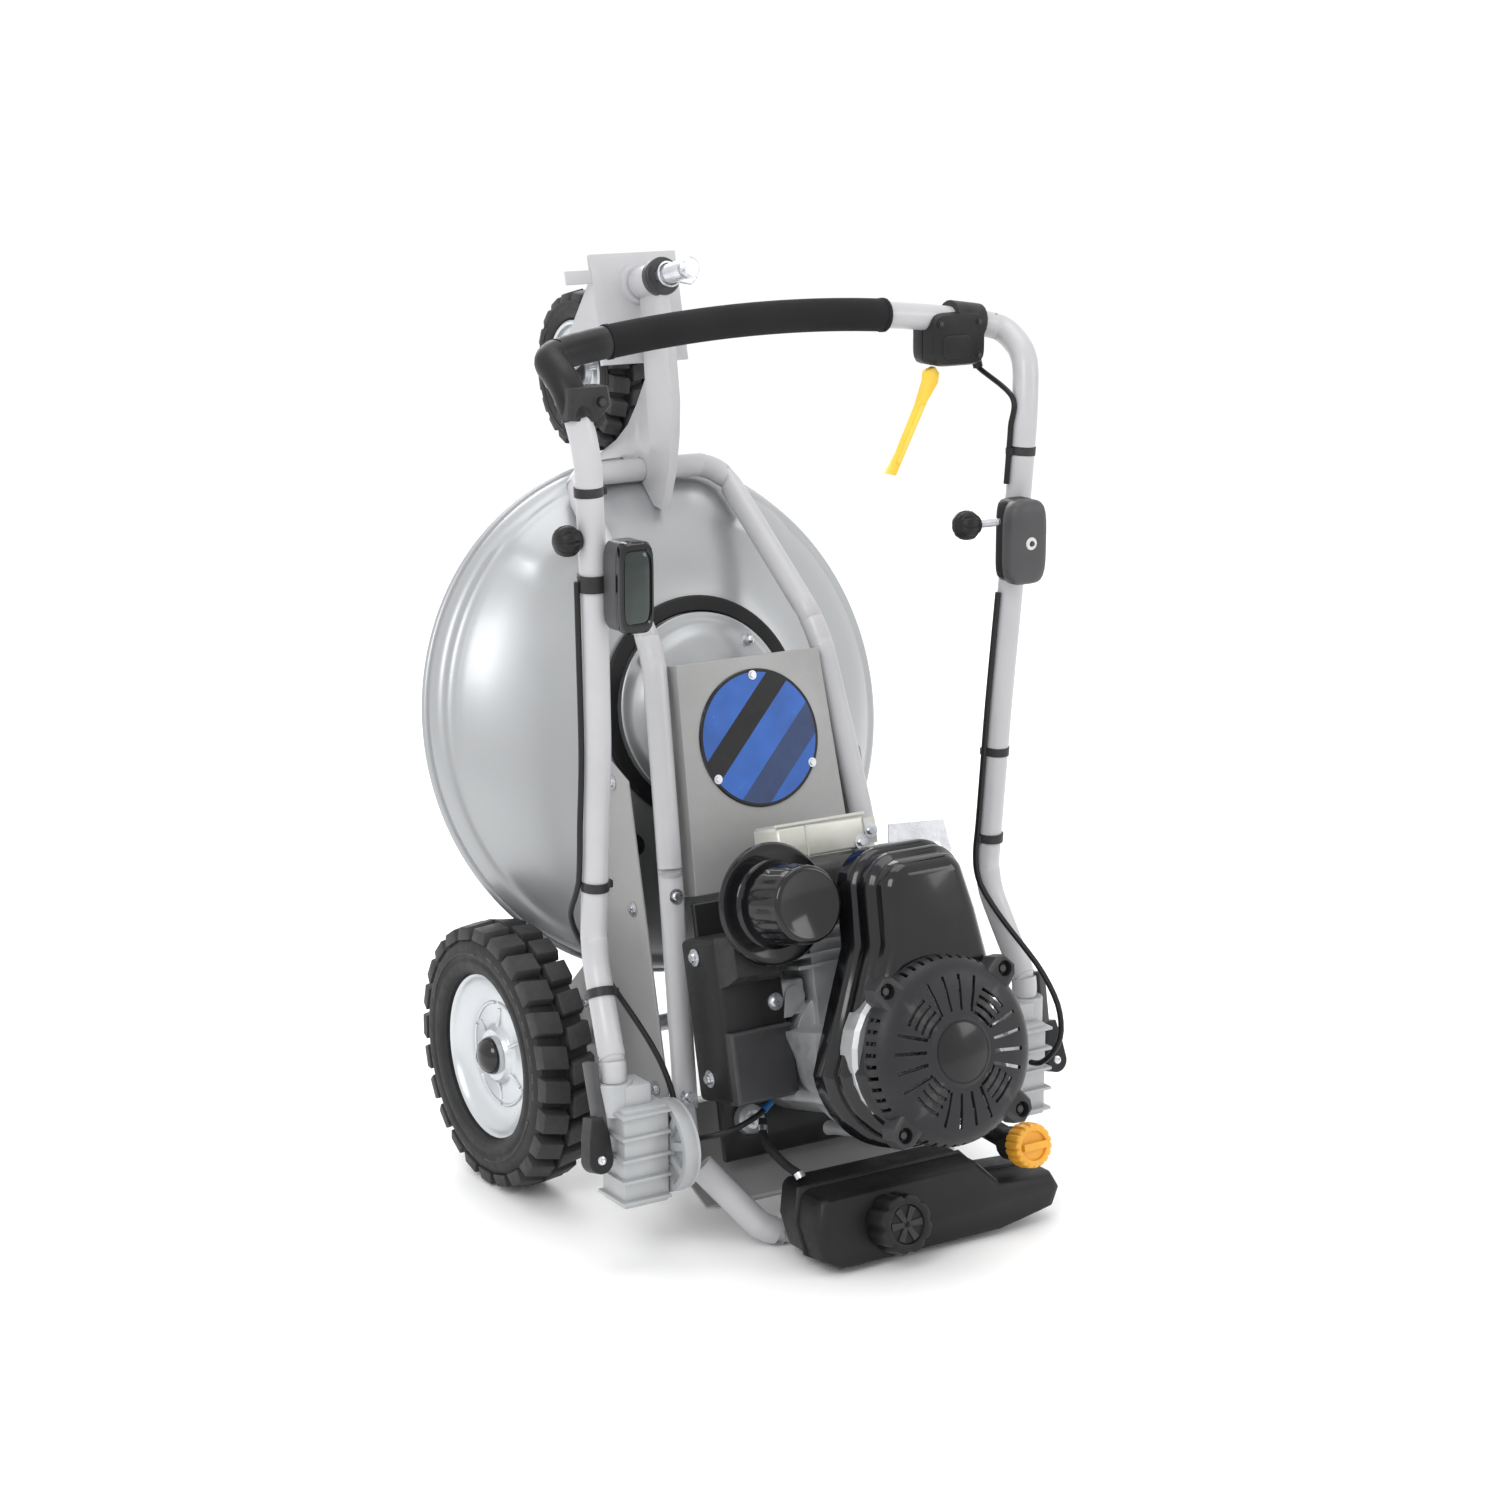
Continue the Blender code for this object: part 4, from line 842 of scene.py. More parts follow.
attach(done(together(cowl_posts), "fan_scroll_casting", MACHINE, cast), "chassis")


# ---- air cleaner and carburettor ----
# A glossy moulded bowl clipped to a flanged base, on top of a black intake box. The carburettor sits between
# the box and the cylinder, with its throttle lever and a blue-sleeved cable end.
SIDE_X, FRONT_Y = -0.088, 0.428
bowl_place = MACHINE @ Matrix.Translation((SIDE_X, FRONT_Y, 0))
bowl = turned("bowl", [(0, 0.5318), (0.0300, 0.5318), (0.0318, 0.5330), (0.0345, 0.5330), (0.0368, 0.5318),
                       (0.0380, 0.5290), (0.0386, 0.5200), (0.0392, 0.5190), (0.0392, 0.5000),
                       (0.0400, 0.4985),
                       (0.0402, 0.4780), (0.0412, 0.4730), (0.0440, 0.4704), (0, 0.4704)], 96, False)
for point in bowl.data.vertices:
    r, turn = Vector((point.co.x, point.co.y)).length, atan2(point.co.y, point.co.x)
    if r > 0.0375 and 0.498 < point.co.z < 0.521 and abs(turn * 9 / pi - round(turn * 9 / pi)) < 0.16:
        point.co.x, point.co.y = point.co.x * 0.965, point.co.y * 0.965
bowl = done(bowl, "air_cleaner_bowl", bowl_place, gloss, 40)
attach(bowl, "chassis")
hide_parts("air_cleaner_cover")
flange = turned("flange", [(0, 0.4702), (0.0520, 0.4702), (0.0555, 0.4712), (0.0590, 0.4708),
                           (0.0608, 0.4685),
                           (0.0608, 0.4655), (0.0590, 0.4640), (0.0560, 0.4600), (0.0480, 0.4560),
                           (0, 0.4560)],
                96, False)
flange = done(flange, "air_cleaner_flange", bowl_place, gloss, 40)
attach(flange, "chassis")
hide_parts("air_cleaner_base")
matt = surface("black_moulding", (0.006, 0.006, 0.007), 0.46, patch=16, shift=0.2, grain=1000, depth=0.00008,
               specular=0.28, dull=0.16, edge=0.04)
grey_black = surface("grey_black_moulding", (0.018, 0.018, 0.020), 0.42, patch=14, shift=0.10, grain=1000,
                     depth=0.00008, specular=0.28, dull=0.14, edge=0.05)
clad("air_box", "intake_box", "chassis", matt, 0.0012, 40)
panel = loft("panel", [[(x, y, z) for x, y in ((-0.142 + g, 0.2365 + g), (-0.071 - g, 0.2365 + g),
             (-0.071 - g, 0.3080 - g), (-0.142 + g, 0.3080 - g))] for g, z in ((0.0, 0.4300), (0.0, 0.4440),
             (0.0020, 0.4465), (0.0040, 0.4472))])
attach(done(panel, "intake_box_panel", MACHINE, grey_black), "chassis")
bridge = loft("bridge", [[(x, y, z) for x, y in arc((SIDE_X, FRONT_Y - 0.012), r, 0, 345, 23)]
                         for r, z in ((0.034, 0.4370), (0.036, 0.4450), (0.044, 0.4560))])
duct = loft("duct", [[(x, y, z)
                      for x, y in ((-0.142 + g, 0.352 + g), (-0.072 - g, 0.352 + g), (-0.072 - g, 0.402),
            (-0.142 + g, 0.402))] for g, z in ((0.0, 0.4360), (0.0030, 0.4480), (0.0100, 0.4560))])
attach(done(together([bridge, duct]), "intake_elbow", MACHINE, matt), "chassis")
box_bolts = [bolt((-0.082, 0.330, 0.4382), (0, 0, 1), 0.0050, 0.0045),
             bolt((-0.1445, 0.262, 0.400), (-1, 0, 0), 0.0050),
             bolt((-0.1445, 0.383, 0.400), (-1, 0, 0), 0.0050),
             bolt((-0.132, 0.382, 0.4386), (0, 0, 1), 0.0045)]
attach(done(together(box_bolts), "intake_bolts", MACHINE, zinc, 25), "chassis")
bpy.ops.mesh.primitive_cube_add(size=1.0)
carb = bpy.context.object
carb.data.transform(Matrix.Translation((-0.058, 0.330, 0.415)) @ Matrix.Diagonal((0.030, 0.036, 0.038, 1)))
carb_rounding = carb.modifiers.new("rounding", 'BEVEL')
carb_rounding.width, carb_rounding.segments = 0.004, 3
take(carb)
bpy.ops.object.modifier_apply(modifier="rounding")
float_bowl = turned("float", [(0, 0.4000), (0.014, 0.4000), (0.014, 0.3850), (0.011, 0.3800), (0, 0.3790)],
                    32, False)
float_bowl.data.transform(Matrix.Translation((-0.058, 0.330, 0)))
lever_plate = flat("lever", arc((-0.058, 0.330), 0.012, 0, 180, 10) + [(-0.074, 0.312), (-0.064, 0.312)],
                   0.4360, 0.0015)
carb = done(together([carb, float_bowl, lever_plate]), "carburettor", MACHINE, cast)
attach(carb, "chassis")


# ---- fuel tank, filler and caps ----
# A blow-moulded black tank with a welded seam round its middle and a ribbed screw cap, a black filler elbow
# with an amber oil cap, and a rubber fuel hose held by spring clips.
clad("fuel_tank", "tank_shell", "chassis", matt, 0.0030, 30, 50)
lean_back = Matrix(((1, 0, 0, 0), (0, 1, -0.240, 0.463 * 0.240), (0, 0, 1, 0), (0, 0, 0, 1)))
tank_outline = [(-0.106, 0.116), (-0.098, 0.149), (0.095, 0.149), (0.118, 0.126), (0.185, 0.122),
                (0.194, 0.104), (0.183, 0.086), (0.100, 0.0725), (-0.080, 0.0725), (-0.100, 0.083)]
seam = loft("seam", [[(x * k, 0.1105 + (y - 0.1105) * k, z) for x, y in tank_outline]
                     for k, z in ((0.985, 0.4610), (1.008, 0.4622), (1.008, 0.4640), (0.985, 0.4652))])
seam.data.transform(lean_back)
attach(done(seam, "tank_seam", MACHINE, matt), "chassis")
neck = turned("neck", [(0, 0.5010), (0.0240, 0.5010), (0.0250, 0.4960), (0, 0.4960)], 48, False)
neck.data.transform(Matrix.Translation((-0.020, 0.103, 0)))
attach(done(neck, "tank_neck", MACHINE, matt), "chassis")


def ribbed_cap(radius, low, high, ribs, depth, star):
    """A screw cap with grip ribs round its skirt, and a raised star on top if it has one."""
    profile = [(0, high - 0.0030), (radius * 0.62, high - 0.0030), (radius * 0.66, high - 0.0006),
               (radius * 0.72, high), (radius * 0.88, high), (radius * 0.96, high - 0.0012),
               (radius, high - 0.0040),
               (radius, low + 0.0040), (radius * 0.97, low + 0.0012), (radius * 0.93, low), (0, low)]
    cap = turned("cap", profile, ribs * 8, False)
    for point in cap.data.vertices:
        r, turn = Vector((point.co.x, point.co.y)).length, atan2(point.co.y, point.co.x)
        if r > radius * 0.80:
            dip = max(0.0, cos(turn * ribs)) ** 2 * depth
            point.co.x, point.co.y = point.co.x * (1 - dip / r), point.co.y * (1 - dip / r)
    pieces = [cap]
    for i in range(star):
        ray = flat("ray", [(0.0, -radius * 0.07), (radius * 0.60, -radius * 0.12),
                           (radius * 0.60, radius * 0.12), (0.0, radius * 0.07)], high - 0.0030, 0.0016)
        ray.data.transform(Matrix.Rotation(2 * pi * i / star, 4, 'Z'))
        pieces.append(ray)
    return together(pieces)


for node, name, body, centre, radius, ribs, depth, star, slot, skin in (
        ("fuel_cap", "fuel_cap_ribbed", "fuel_cap", (-0.020, 0.103), 0.0300, 8, 0.0030, 6, "black_plastic",
         matt),
        ("oil_cap", "oil_cap_ribbed", "oil_cap", (0.150, 0.147), 0.0230, 18, 0.0016, 0, "yellow_plastic",
         surface("amber_plastic", (0.75, 0.36, 0.03), 0.34, patch=30, shift=0.10, grain=1300,
                 depth=0.00005))):
    low, high = (0.5003, 0.5313) if node == "fuel_cap" else (0.4983, 0.5193)
    made = ribbed_cap(radius, low, high, ribs, depth, star)
    if node == "oil_cap":
        grip = flat("grip", [(-0.0145, -0.0035), (0.0145, -0.0035), (0.0145, 0.0035), (-0.0145, 0.0035)],
                    high - 0.004, 0.007)
        made = together([made, grip])
    made = done(made, name, MACHINE @ Matrix.Translation((*centre, 0)), skin)
    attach(made, body)
    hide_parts(node)
clad("oil_filler", "filler_elbow", "chassis", matt, 0.0, 30, 60)
hose = done(tube("hose", route_of("fuel_hose", 6, MACHINE @ Vector((-0.084, 0.210, 0.390))), 0.0045, 6),
            "fuel_line", STILL, rubber, 60)
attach(hose, "chassis")
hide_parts("fuel_hose")
clamp_rings = []
for node, sides, end, index in (("fuel_hose", 6, MACHINE @ Vector((-0.084, 0.210, 0.390)), 2),
                                ("fuel_hose", 6, MACHINE @ Vector((-0.084, 0.210, 0.390)), -3)):
    line = route_of(node, sides, end)
    along = (line[index + 1] - line[index]).normalized()
    clamp_rings.append(tube("clip", [line[index] - along * 0.003, line[index] + along * 0.003], 0.0054, 6,
                            1))
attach(done(together(clamp_rings), "hose_clips", STILL, zinc), "chassis")


# ---- handle tube and grip ----
# One bent tube, powder coated pale grey, with a closed-cell foam grip over most of the crossbar. The foam
# has fine pores. A moulded clip with a bolt holds its left end at the corner.
# The handle is drawn in its own frame: X right, Y up the folded handle, Z towards the outside of the fold.
HANDLE = Matrix(((1, 0, 0, 0), (0, 0, -1, 0), (0, 1, 0, 0), (0, 0, 0, 1)))
HANDLE.translation = Vector(joints["handle_fold"]["pos_m"])
handle_route = route_of("handle_tube", 8, HANDLE @ Vector((-0.2496, 0.0723, -0.0150)))
bar = done(tube("handle", handle_route, 0.01325), "handle_bent_tube", STILL, pale, 50)
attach(bar, "handle")
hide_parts("handle_tube")

foam = surface("foam_rubber", (0.009, 0.009, 0.010), 0.85, patch=12, shift=0.25, grain=1500, depth=0.00035,
               dull=0.12, specular=0.25)
low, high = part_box("handle_grip")
crossbar = [p for p in handle_route if low.x - 0.001 < p.x < high.x + 0.001 and p.z > low.z]
dense = flow(crossbar, 4)
grip = tube("grip", dense, 0.0165, 8, 1)
ends = []
for tip, inner in ((dense[0], dense[1]), (dense[-1], dense[-2])):
    along = (inner - tip).normalized()
    ends.append(tube("end_ring", [tip, tip + along * 0.004], 0.0172, 8, 1))
grip = done(together([grip] + ends), "foam_grip", STILL, foam, 60)
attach(grip, "handle")
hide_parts("handle_grip")

corner = [p for p in handle_route if p.x < low.x + 0.002 and (HANDLE.inverted() @ p).y > 0.700]
sleeve = flow(corner, 3)
sleeve_mesh = tube("sleeve", sleeve, 0.0158, 8, 1)
foot = HANDLE.inverted() @ min(sleeve, key=lambda p: p.z)
clip_body = loft("clip", [[(foot.x + x - g * (1 if x > 0 else -1), foot.y + y, foot.z + z) for x, y in (
    (-0.0170, 0.0), (0.0150, -0.0020), (0.0300, 0.0120), (0.0270, 0.0300), (-0.0150, 0.0300))]
    for g, z in ((0.003, -0.0125), (0.0, -0.0100), (0.0, 0.0100), (0.003, 0.0125))])
clip_ear = turned("ear", [(0, 0.0100), (0.0070, 0.0100), (0.0085, 0.0080), (0.0085, -0.0080),
                          (0.0070, -0.0100), (0, -0.0100)], 32, False)
clip_ear.data.transform(Matrix.Translation(foot + Vector((0.0160, 0.0, 0.0)))
                        @ Matrix.Rotation(pi / 2, 4, 'Y'))
for part in (clip_body, clip_ear):
    part.data.transform(HANDLE)
sleeve_done = done(together([sleeve_mesh, clip_body, clip_ear]), "grip_corner_clip", STILL, matt, 40)
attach(sleeve_done, "handle")
clip_bolt = done(bolt(foot + Vector((0.0180, 0.0160, 0.0120)), (0, 0, 1), 0.0045, 0.0035), "grip_clip_bolt",
                 HANDLE, black_paint, 25)
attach(clip_bolt, "handle")


# ---- hinge and brackets ----
# Die-cast brackets clamp the handle's ends. Five ribs stiffen each one's face and a round collar holds the
# tube. Beside each is its hinge disc, with a ring of pockets on one face and radial webs on the other.
light_cast = surface("light_casting", (0.36, 0.37, 0.38), 0.46, metal=0.25, coat=0.1, patch=18, shift=0.07,
                     grain=900, depth=0.00010, dull=0.16, edge=0.12)
for side, sign in (("left", -1), ("right", 1)):
    casting = clad(side + "_hinge_half", side + "_hinge_casting", "chassis", light_cast,
                   0.0020, 40)
    for turn in range(15, 375, 40):
        wedge = arc((0, 0), 0.0395, turn - 14, turn + 14, 6) + arc((0, 0), 0.0190, turn + 8, turn - 8, 4)
        pocket = loft("pocket", [[(sign * x, v, w) for v, w in wedge] for x in (0.1985, 0.2060)])
        pocket.data.transform(HANDLE)
        cut(casting, pocket)

    def block(x0, x1, y0, y1, z0, z1, soft=0.0015):
        """A rounded block between these limits."""
        xs = sorted((sign * x0, sign * x1))
        bpy.ops.mesh.primitive_cube_add(size=1.0)
        made = bpy.context.object
        made.data.transform(Matrix.Translation(((xs[0] + xs[1]) / 2, (y0 + y1) / 2, (z0 + z1) / 2))
                            @ Matrix.Diagonal((xs[1] - xs[0], y1 - y0, z1 - z0, 1)))
        eased(made, soft)
        return made

    pieces = [block(0.2045, 0.2560, -0.0515, 0.0500, -0.0280, 0.0170, 0.0040)]
    pieces += [block(0.2055, 0.2600, y - 0.0017, y + 0.0017, -0.0290, 0.0218, 0.0008)
               for y in (-0.044, -0.022, 0.000, 0.022, 0.044)]
    collar = turned("collar", [(0.0136, 0.0720), (0.0185, 0.0720), (0.0195, 0.0705), (0.0200, 0.0400),
                               (0.0136, 0.0400)],
                    48)
    collar.data.transform(Matrix.Translation((sign * 0.2496, 0, -0.0150)) @ Matrix.Rotation(-pi / 2, 4, 'X'))
    pieces.append(collar)
    pieces.append(block(0.2180, 0.2480, 0.0380, 0.0700, -0.0280, 0.0060, 0.0030))
    for point in [p for made in pieces for p in made.data.vertices]:
        point.co.z = max(-0.0345, min(0.0218, point.co.z))
    bracket = done(together(pieces), side + "_bracket_casting", HANDLE, light_cast, 40)
    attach(bracket, "handle")
    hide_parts(side + "_handle_bracket")
    pieces = []
    for turn in range(0, 360, 30):
        web = block(0.1885, 0.1900, 0.014, 0.042, -0.0013, 0.0013, 0.0004)
        web.data.transform(Matrix.Rotation(radians(turn), 4, 'X'))
        pieces.append(web)
    rim = turned("rim", [(0.0415, 0.0020), (0.0455, 0.0020), (0.0455, -0.0020), (0.0415, -0.0020)], 64)
    boss = turned("boss", [(0, 0.0030), (0.0120, 0.0030), (0.0140, 0.0010), (0.0140, -0.0020), (0, -0.0020)],
                  40, False)
    for made in (rim, boss):
        made.data.transform(Matrix.Translation((sign * 0.1885, 0, 0))
                            @ Matrix.Rotation(-sign * pi / 2, 4, 'Y'))
    webs = done(together(pieces + [rim, boss]), side + "_hinge_webs", HANDLE, light_cast, 35)
    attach(webs, "chassis")


# ---- quick clamps ----
# Each clamp is a flat moulded bar on a black cam, pinned through with a plated screw.
lever_grey = surface("lever_grey", (0.055, 0.055, 0.058), 0.45, patch=20, shift=0.12, grain=1100,
                     depth=0.00006, specular=0.28, edge=0.08)
for side, sign in (("left", -1), ("right", 1)):
    pivot = Vector(joints[side + "_lever_clamp"]["pos_m"])
    cam_place = Matrix.Translation(pivot) @ MACHINE.to_3x3().to_4x4()
    body = side + "_lever"
    outline = arc((0, 0), 0.0132, 180, 360, 24) + [(0.0125, 0.0250), (0.0070, 0.0420), (-0.0050, 0.0420),
                                                   (-0.0100, 0.0220)]
    cam = loft("cam", [[(sign * -x, y, z) for x, y in [(u * k, v * k) for u, v in outline]]
                       for k, z in ((0.90, -0.0100), (1.0, -0.0088), (1.0, 0.0088), (0.90, 0.0100))])
    cam = done(cam, side + "_clamp_cam", cam_place, matt, 35)
    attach(cam, body)
    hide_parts(side + "_clamp_lever")
    blade_line = [(0.0005, 0.010), (0.0035, 0.030), (0.0010, 0.0940), (0.0035, 0.0955), (0.0090, 0.0950),
                  (0.0120, 0.030), (0.0120, 0.008)]
    blade = loft("blade", [[(sign * -x, y, z) for x, y in blade_line] for z in (-0.0088, 0.0088)])
    eased(blade, 0.0010)
    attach(done(blade, side + "_clamp_bar", cam_place, lever_grey, 35), body)
    screw = turned("screw", [(0, 0.0112), (0.0012, 0.0106), (0.0022, 0.0116), (0.0040, 0.0110),
                             (0.0046, 0.0100), (0, 0.0100)], 32, False)
    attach(done(screw, side + "_clamp_screw", cam_place, zinc), body)


# ---- control housing and drive lever ----
# A two-part black housing clamped round the crossbar, split along its middle and screwed together. The
# yellow lever leaves its lower edge, and a rubber boot leads the cable out.
def pod(x_mid, y_mid, half_x, half_y, levels, soft=0.35, count=48):
    """A soft-cornered box: rings of a rounded rectangle at several heights, each (scale, height)."""
    sections = []
    for scale, height in levels:
        ring = []
        for i in range(count):
            c, s = cos(2 * pi * i / count), sin(2 * pi * i / count)
            reach = (abs(c) ** (2 / soft) + abs(s) ** (2 / soft)) ** (-soft / 2)
            ring.append((x_mid + half_x * scale * c * reach, y_mid + half_y * scale * s * reach, height))
        sections.append(ring)
    return loft("pod", sections)


front_half = pod(0.2010, 0.7570, 0.0330, 0.0270,
                 ((0.80, -0.1215), (0.93, -0.1195), (1.0, -0.1150), (1.0, -0.1010),
                                                 (0.97, -0.1004)))
back_half = pod(0.2010, 0.7570, 0.0330, 0.0270,
                ((0.97, -0.0996), (1.0, -0.0990), (1.0, -0.0850), (0.93, -0.0810),
                                                (0.70, -0.0792)))
pocket = pod(0.1960, 0.7500, 0.0170, 0.0120,
             ((0.90, -0.0800), (1.0, -0.0794), (0.96, -0.0778), (0.86, -0.0774)))
over_bar = [HANDLE.inverted() @ p for p in dense + handle_route if 0.1640 < p.x < 0.2440 and p.z > low.z]
over_bar = sorted({(round(p.x, 4), p.y, p.z) for p in over_bar})
saddle = [tube("saddle", flow(over_bar, 3), 0.0182, 8, 2)]
saddle += [tube("lip", [over_bar[i], over_bar[i + step]], 0.0194, 8, 2) for i, step in ((0, 1), (-1, -1))]
housing = done(together([front_half, back_half, pocket] + saddle), "switch_housing", HANDLE, matt, 40)
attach(housing, "handle")
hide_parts("control_housing")
dots = [bolt((x, y, -0.0797), (0, 0, 1), 0.0028, 0.0014, 1.3)
        for x, y in ((0.1760, 0.7740), (0.2240, 0.7400), (0.2240, 0.7740))]
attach(done(together(dots), "switch_housing_screws", HANDLE, black_paint, 25), "handle")
side_line = sorted((HANDLE.inverted() @ p for p in handle_route if p.x > 0.2300), key=lambda p: -p.y)
lead = [(0.2200, 0.7420, -0.1000), (0.2340, 0.7370, -0.1005), (0.2385, 0.7250, -0.1000)]
for y in (0.700, 0.670, 0.640, 0.612):
    above = [p for p in side_line if p.y >= y][-1]
    below = [p for p in side_line if p.y < y][0]
    here = above.lerp(below, (above.y - y) / max(1e-6, above.y - below.y))
    lead.append((here.x - 0.0168, y, here.z))
lead_piece = tube("switch_lead", flow(lead, 6), 0.0028, 6, 2)
boot = tube("boot", flow(lead[:3], 4), 0.0052, 6, 2)
sheath = surface("cable_sheath", (0.008, 0.008, 0.009), 0.38, patch=30, shift=0.2, grain=1200, depth=0.00003,
                 specular=0.28)
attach(done(together([lead_piece, boot]), "switch_cable", HANDLE, sheath, 60), "handle")
yellow = surface("lever_yellow", (0.85, 0.55, 0.05), 0.36, patch=25, shift=0.08, grain=1300, depth=0.00004,
                 edge=0.06)
lever_place = Matrix.Translation(Vector(joints["drive_lever_pull"]["pos_m"])) @ HANDLE.to_3x3().to_4x4()
squeeze_line = [(0.0030, 0.0090), (-0.0080, 0.0050), (-0.0090, -0.0050), (-0.0180, -0.0300),
                (-0.0420, -0.0780),
                (-0.0535, -0.0945), (-0.0560, -0.0960), (-0.0440, -0.0990), (-0.0290, -0.0700),
                (-0.0060, -0.0260), (0.0070, -0.0080), (0.0085, 0.0020)]
lever = loft("lever", [[(x, y, z) for x, y in squeeze_line] for z in (-0.0042, 0.0042)])
eased(lever, 0.0012)
rib = loft("rib", [[(x, y, z)
                    for x, y in ((-0.0150, -0.0280), (-0.0440, -0.0850), (-0.0410, -0.0865),
                                 (-0.0110, -0.0300))]
                   for z in (0.0040, 0.0058)])
lever = done(together([lever, rib]), "drive_lever_blade", lever_place, yellow, 40)
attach(lever, "drive_lever")
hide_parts("drive_lever")


# ---- pods and knobs ----
# The left pod is a grey shell with a black bezel round a dark glossy window. The right one is a domed grey
# shell with a screw in its middle, on a black back. Straps hold both to the tubes, beside fluted knobs.
window_glass = surface("dark_window", (0.002, 0.010, 0.008), 0.06, coat=0.3, patch=20, shift=0.5, grain=900,
                       depth=0.000005, dull=0.04)
shell_grey = surface("pod_grey", (0.060, 0.060, 0.063), 0.42, patch=18, shift=0.10, grain=1100,
                     depth=0.00007, specular=0.28, edge=0.05)
left = pod(-0.2288, 0.5580, 0.0176, 0.0430,
           ((0.90, -0.0302), (0.97, -0.0290), (1.0, -0.0260), (1.0, -0.0060), (0.97, -0.0050)))
left = done(left, "left_pod_shell", HANDLE, shell_grey, 40)
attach(left, "handle")
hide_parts("left_pod")
bezel = pod(-0.2288, 0.5580, 0.0180, 0.0436,
            ((0.96, -0.0060), (1.0, -0.0050), (1.0, 0.0030), (0.95, 0.0056), (0.84, 0.0060),
                                             (0.80, 0.0044)))
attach(done(bezel, "left_pod_bezel", HANDLE, gloss, 40), "handle")
glass = pod(-0.2288, 0.5580, 0.0144, 0.0350, ((1.0, 0.0040), (0.98, 0.0048), (0.80, 0.0058), (0.50, 0.0063)))
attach(done(glass, "left_pod_window", HANDLE, window_glass, 60), "handle")
back = pod(0.2290, 0.5590, 0.0185, 0.0425,
           ((0.88, -0.0298), (0.97, -0.0280), (1.0, -0.0240), (1.0, -0.0080), (0.97, -0.0070)))
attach(done(back, "right_pod_back", HANDLE, matt, 40), "handle")
domed = pod(0.2260, 0.5590, 0.0228, 0.0430,
            ((0.96, -0.0075), (1.0, -0.0060), (1.0, 0.0030), (0.97, 0.0070), (0.90, 0.0095),
                                            (0.70, 0.0112), (0.40, 0.0119)), 0.45)
domed = done(domed, "right_pod_dome", HANDLE, shell_grey, 50)
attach(domed, "handle")
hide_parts("right_pod")
strap_y, straps = 0.558, []
for side, pod_x in ((-1, -0.2340), (1, 0.2380)):
    line = sorted((HANDLE.inverted() @ p for p in handle_route if p.x * side > 0.2), key=lambda p: p.y)
    below, above = [p for p in line if p.y <= strap_y][-1], [p for p in line if p.y > strap_y][0]
    centre = below.lerp(above, (strap_y - below.y) / (above.y - below.y))
    along = (above - below).normalized() * 0.0080
    straps.append(tube("strap", [centre - along, centre + along], 0.0156, 8, 1))
    straps.append(tube("post", [centre, Vector((pod_x, strap_y, -0.0270))], 0.0065, 6, 1))
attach(done(together(straps), "pod_straps", HANDLE, matt, 50), "handle")
white_plastic = surface("pale_washer", (0.55, 0.55, 0.54), 0.5, patch=40, shift=0.05, grain=1500,
                        depth=0.00003)
ring = turned("washer", [(0.0022, 0.0012), (0.0060, 0.0012), (0.0066, 0.0), (0.0022, 0.0)], 40)
ring.data.transform(Matrix.Translation((0.2260, 0.5590, 0.0118)))
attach(done(ring, "right_pod_washer", HANDLE, white_plastic), "handle")
screw = bolt((0.2260, 0.5590, 0.0120), (0, 0, 1), 0.0026, 0.0016, 1.1)
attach(done(screw, "right_pod_screw", HANDLE, black_paint, 25), "handle")

knob_profile = [(0, 0.0128), (0.0070, 0.0122), (0.0115, 0.0095), (0.0143, 0.0050), (0.0150, 0.0),
                (0.0146, -0.0050), (0.0118, -0.0092), (0.0098, -0.0112), (0.0094, -0.0128), (0, -0.0128)]
for side in ("left", "right"):
    place = Matrix.Translation(Vector(joints[side + "_knob_turn"]["pos_m"]))
    knob = turned("knob", [(r, -h) for r, h in reversed(knob_profile)], 96, False)
    for point in knob.data.vertices:
        r, turn = Vector((point.co.x, point.co.y)).length, atan2(point.co.y, point.co.x)
        if r > 0.0105:
            dip = 1 - 0.10 * max(0.0, cos(turn * 8)) ** 3
            point.co.x, point.co.y = point.co.x * dip, point.co.y * dip
    knob.data.transform(Matrix.Rotation(pi / 2, 4, 'Y'))
    knob = done(knob, side + "_fluted_knob", place, matt, 40)
    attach(knob, side + "_knob")
    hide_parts(side + "_knob")
    if side == "right":
        stem_r, stem_tip = 0.0036, 0.0405
        rod = tube("stem", [(0.0120, 0, 0), (stem_tip, 0, 0)], stem_r, 6, 1)
        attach(done(rod, "right_knob_stem", place, zinc), "right_knob")
        threads = [rings((0, 0), (stem_r, 0.0006, 0.0150 + 0.0016 * i)) for i in range(15)]
        thread = together(threads)
        thread.data.transform(thread.matrix_world)
        thread.matrix_world = Matrix.Identity(4)
        thread.data.transform(Matrix.Rotation(pi / 2, 4, 'Y'))
        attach(done(thread, "right_knob_thread", place, zinc), "right_knob")


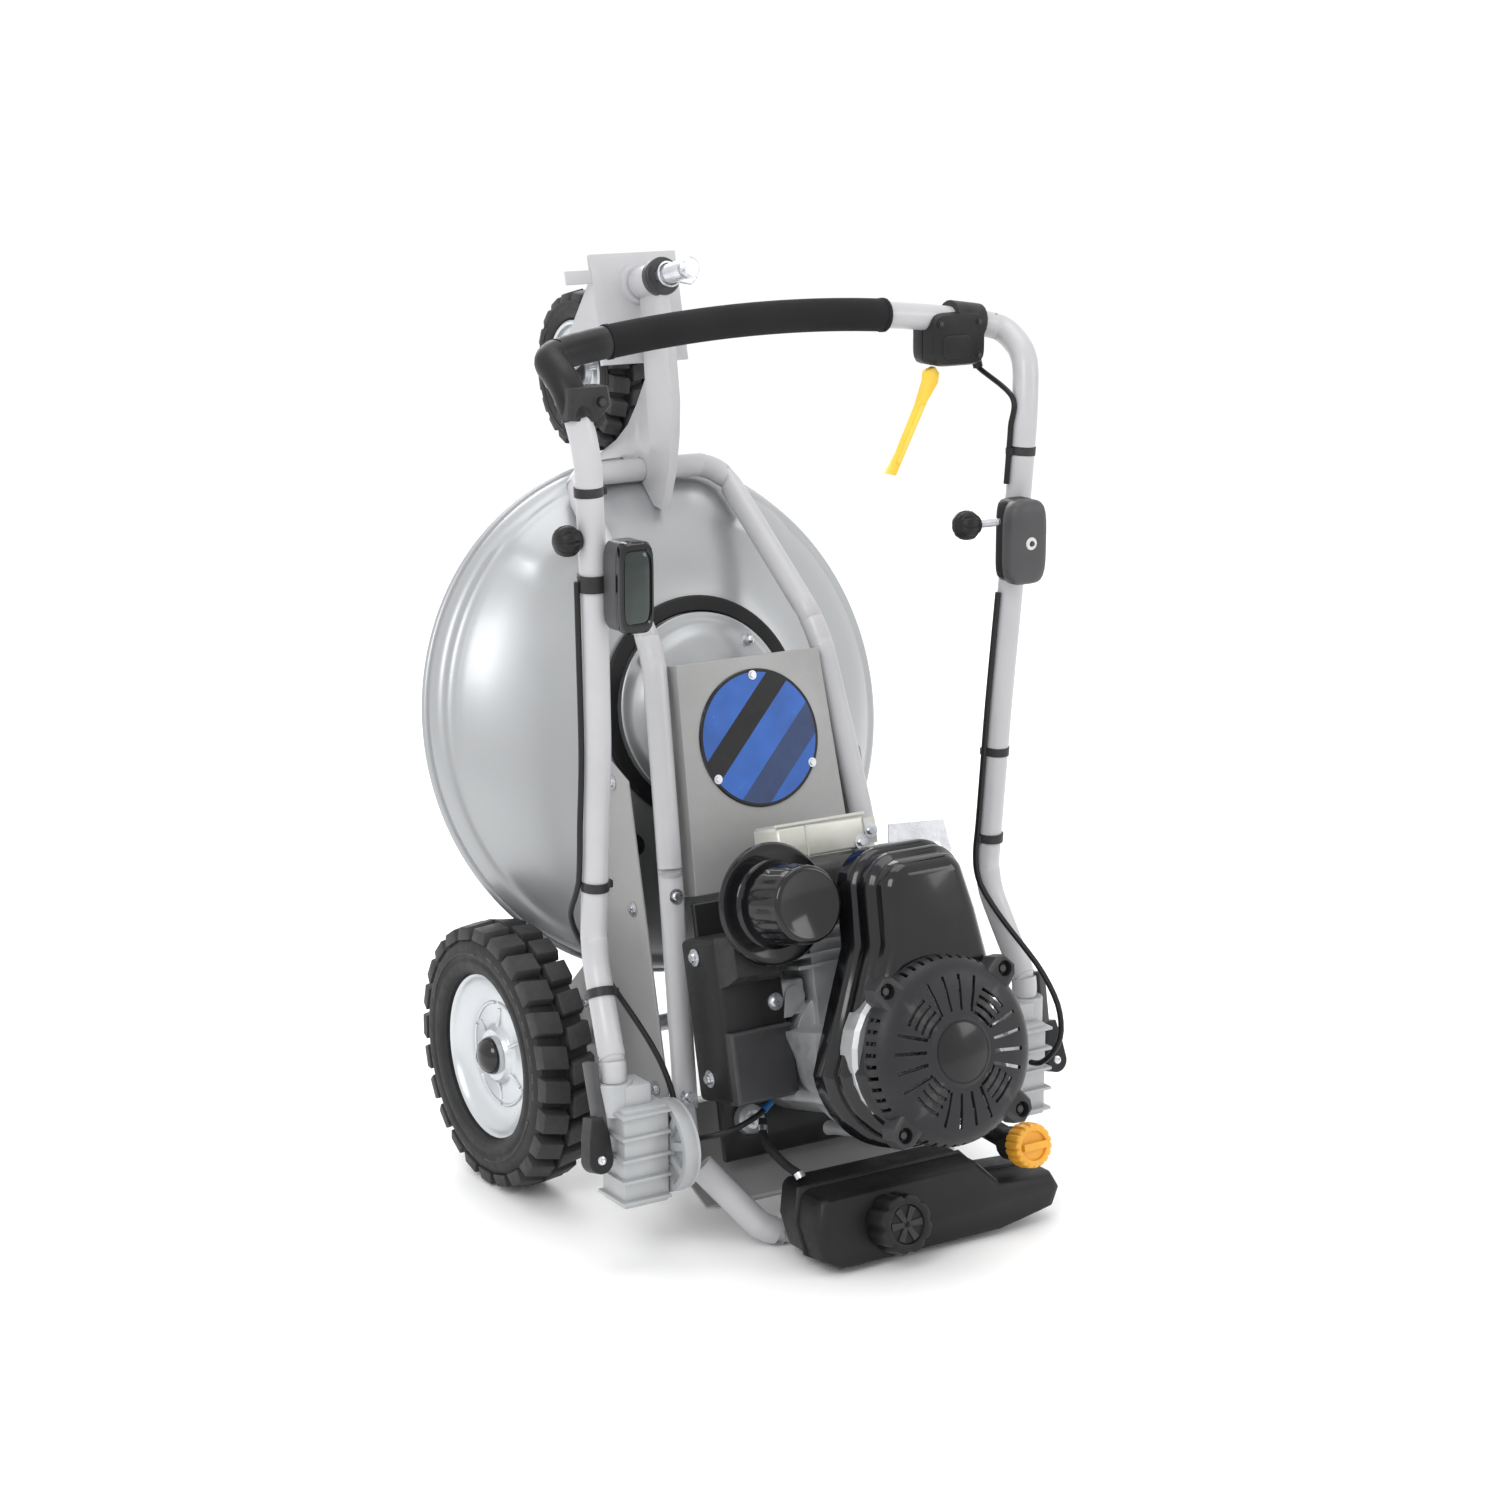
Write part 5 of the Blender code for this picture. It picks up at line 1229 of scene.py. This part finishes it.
# ---- cables ----
# Black sheathed control cables run down the handle tubes under small ties. The left one turns along the
# fold axis and goes on to the carburettor; the right one loops in front of its bracket.
for node, name, body, end in (
        ("left_handle_cable", "left_cable_run", "handle", HANDLE @ Vector((-0.232, 0.560, -0.046))),
        ("right_handle_cable", "right_cable_run", "handle", HANDLE @ Vector((0.228, 0.500, -0.045))),
        ("engine_cable", "engine_cable_run", "chassis", MACHINE @ Vector((-0.086, 0.229, 0.412)))):
    run = done(tube(name, route_of(node, 6, end), 0.0030, 6, 2), name, STILL, sheath, 60)
    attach(run, body)
    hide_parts(node)
ties = []
for side, levels in ((-1, (0.645, 0.255, 0.150)), (1, (0.645, 0.330, 0.235))):
    for y in levels:
        side_points = [i for i in range(1, len(handle_route) - 1) if handle_route[i].x * side >= 0]
        near = min(side_points, key=lambda i: abs((HANDLE.inverted() @ handle_route[i]).y - y))
        a, b = handle_route[near - 1], handle_route[near + 1]
        here = [HANDLE.inverted() @ p for p in (a, b)]
        t = (y - here[0].y) / (here[1].y - here[0].y)
        centre, along = a.lerp(b, t), (b - a).normalized()
        ties.append(tube("tie", [centre - along * 0.0045, centre + along * 0.0045], 0.0142, 8, 1))
        bpy.ops.mesh.primitive_cube_add(size=1.0)
        lock = bpy.context.object
        lock.data.transform(Matrix.Translation(centre + Vector((-side * 0.0150, 0, 0)))
                            @ Matrix.Diagonal((0.0060, 0.0090, 0.0080, 1)))
        eased(lock, 0.0012)
        ties.append(lock)
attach(done(together(ties), "cable_ties", STILL, matt, 40), "handle")
blue_sleeve = surface("blue_sleeve", (0.02, 0.13, 0.36), 0.4, patch=40, shift=0.15, grain=1200,
                      depth=0.00004)
end_line = route_of("engine_cable", 6, MACHINE @ Vector((-0.086, 0.229, 0.412)))
sleeve = tube("sleeve", [end_line[0], end_line[1], end_line[2]], 0.0038, 6, 2)
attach(done(sleeve, "cable_end_sleeve", STILL, blue_sleeve, 60), "chassis")


# ---- what turns inside ----
# The fan, pulleys, spindle, crankshaft and flywheel are plain machined or cast pieces. They keep their CAD
# shapes and take the cast, plated and rubber finishes.
belt = surface("belt_rubber", (0.018, 0.018, 0.018), 0.8, patch=40, shift=0.2, grain=800, depth=0.0001,
               specular=0.3)
for node, skin in (("impeller", cast), ("fan_pulley", cast), ("engine_pulley", cast), ("flywheel", cast),
                   ("fan_spindle", zinc), ("crankshaft", zinc), ("drive_belt", belt)):
    carried = frame["nodes"][node]
    carried.data.materials.clear()
    carried.data.materials.append(skin)
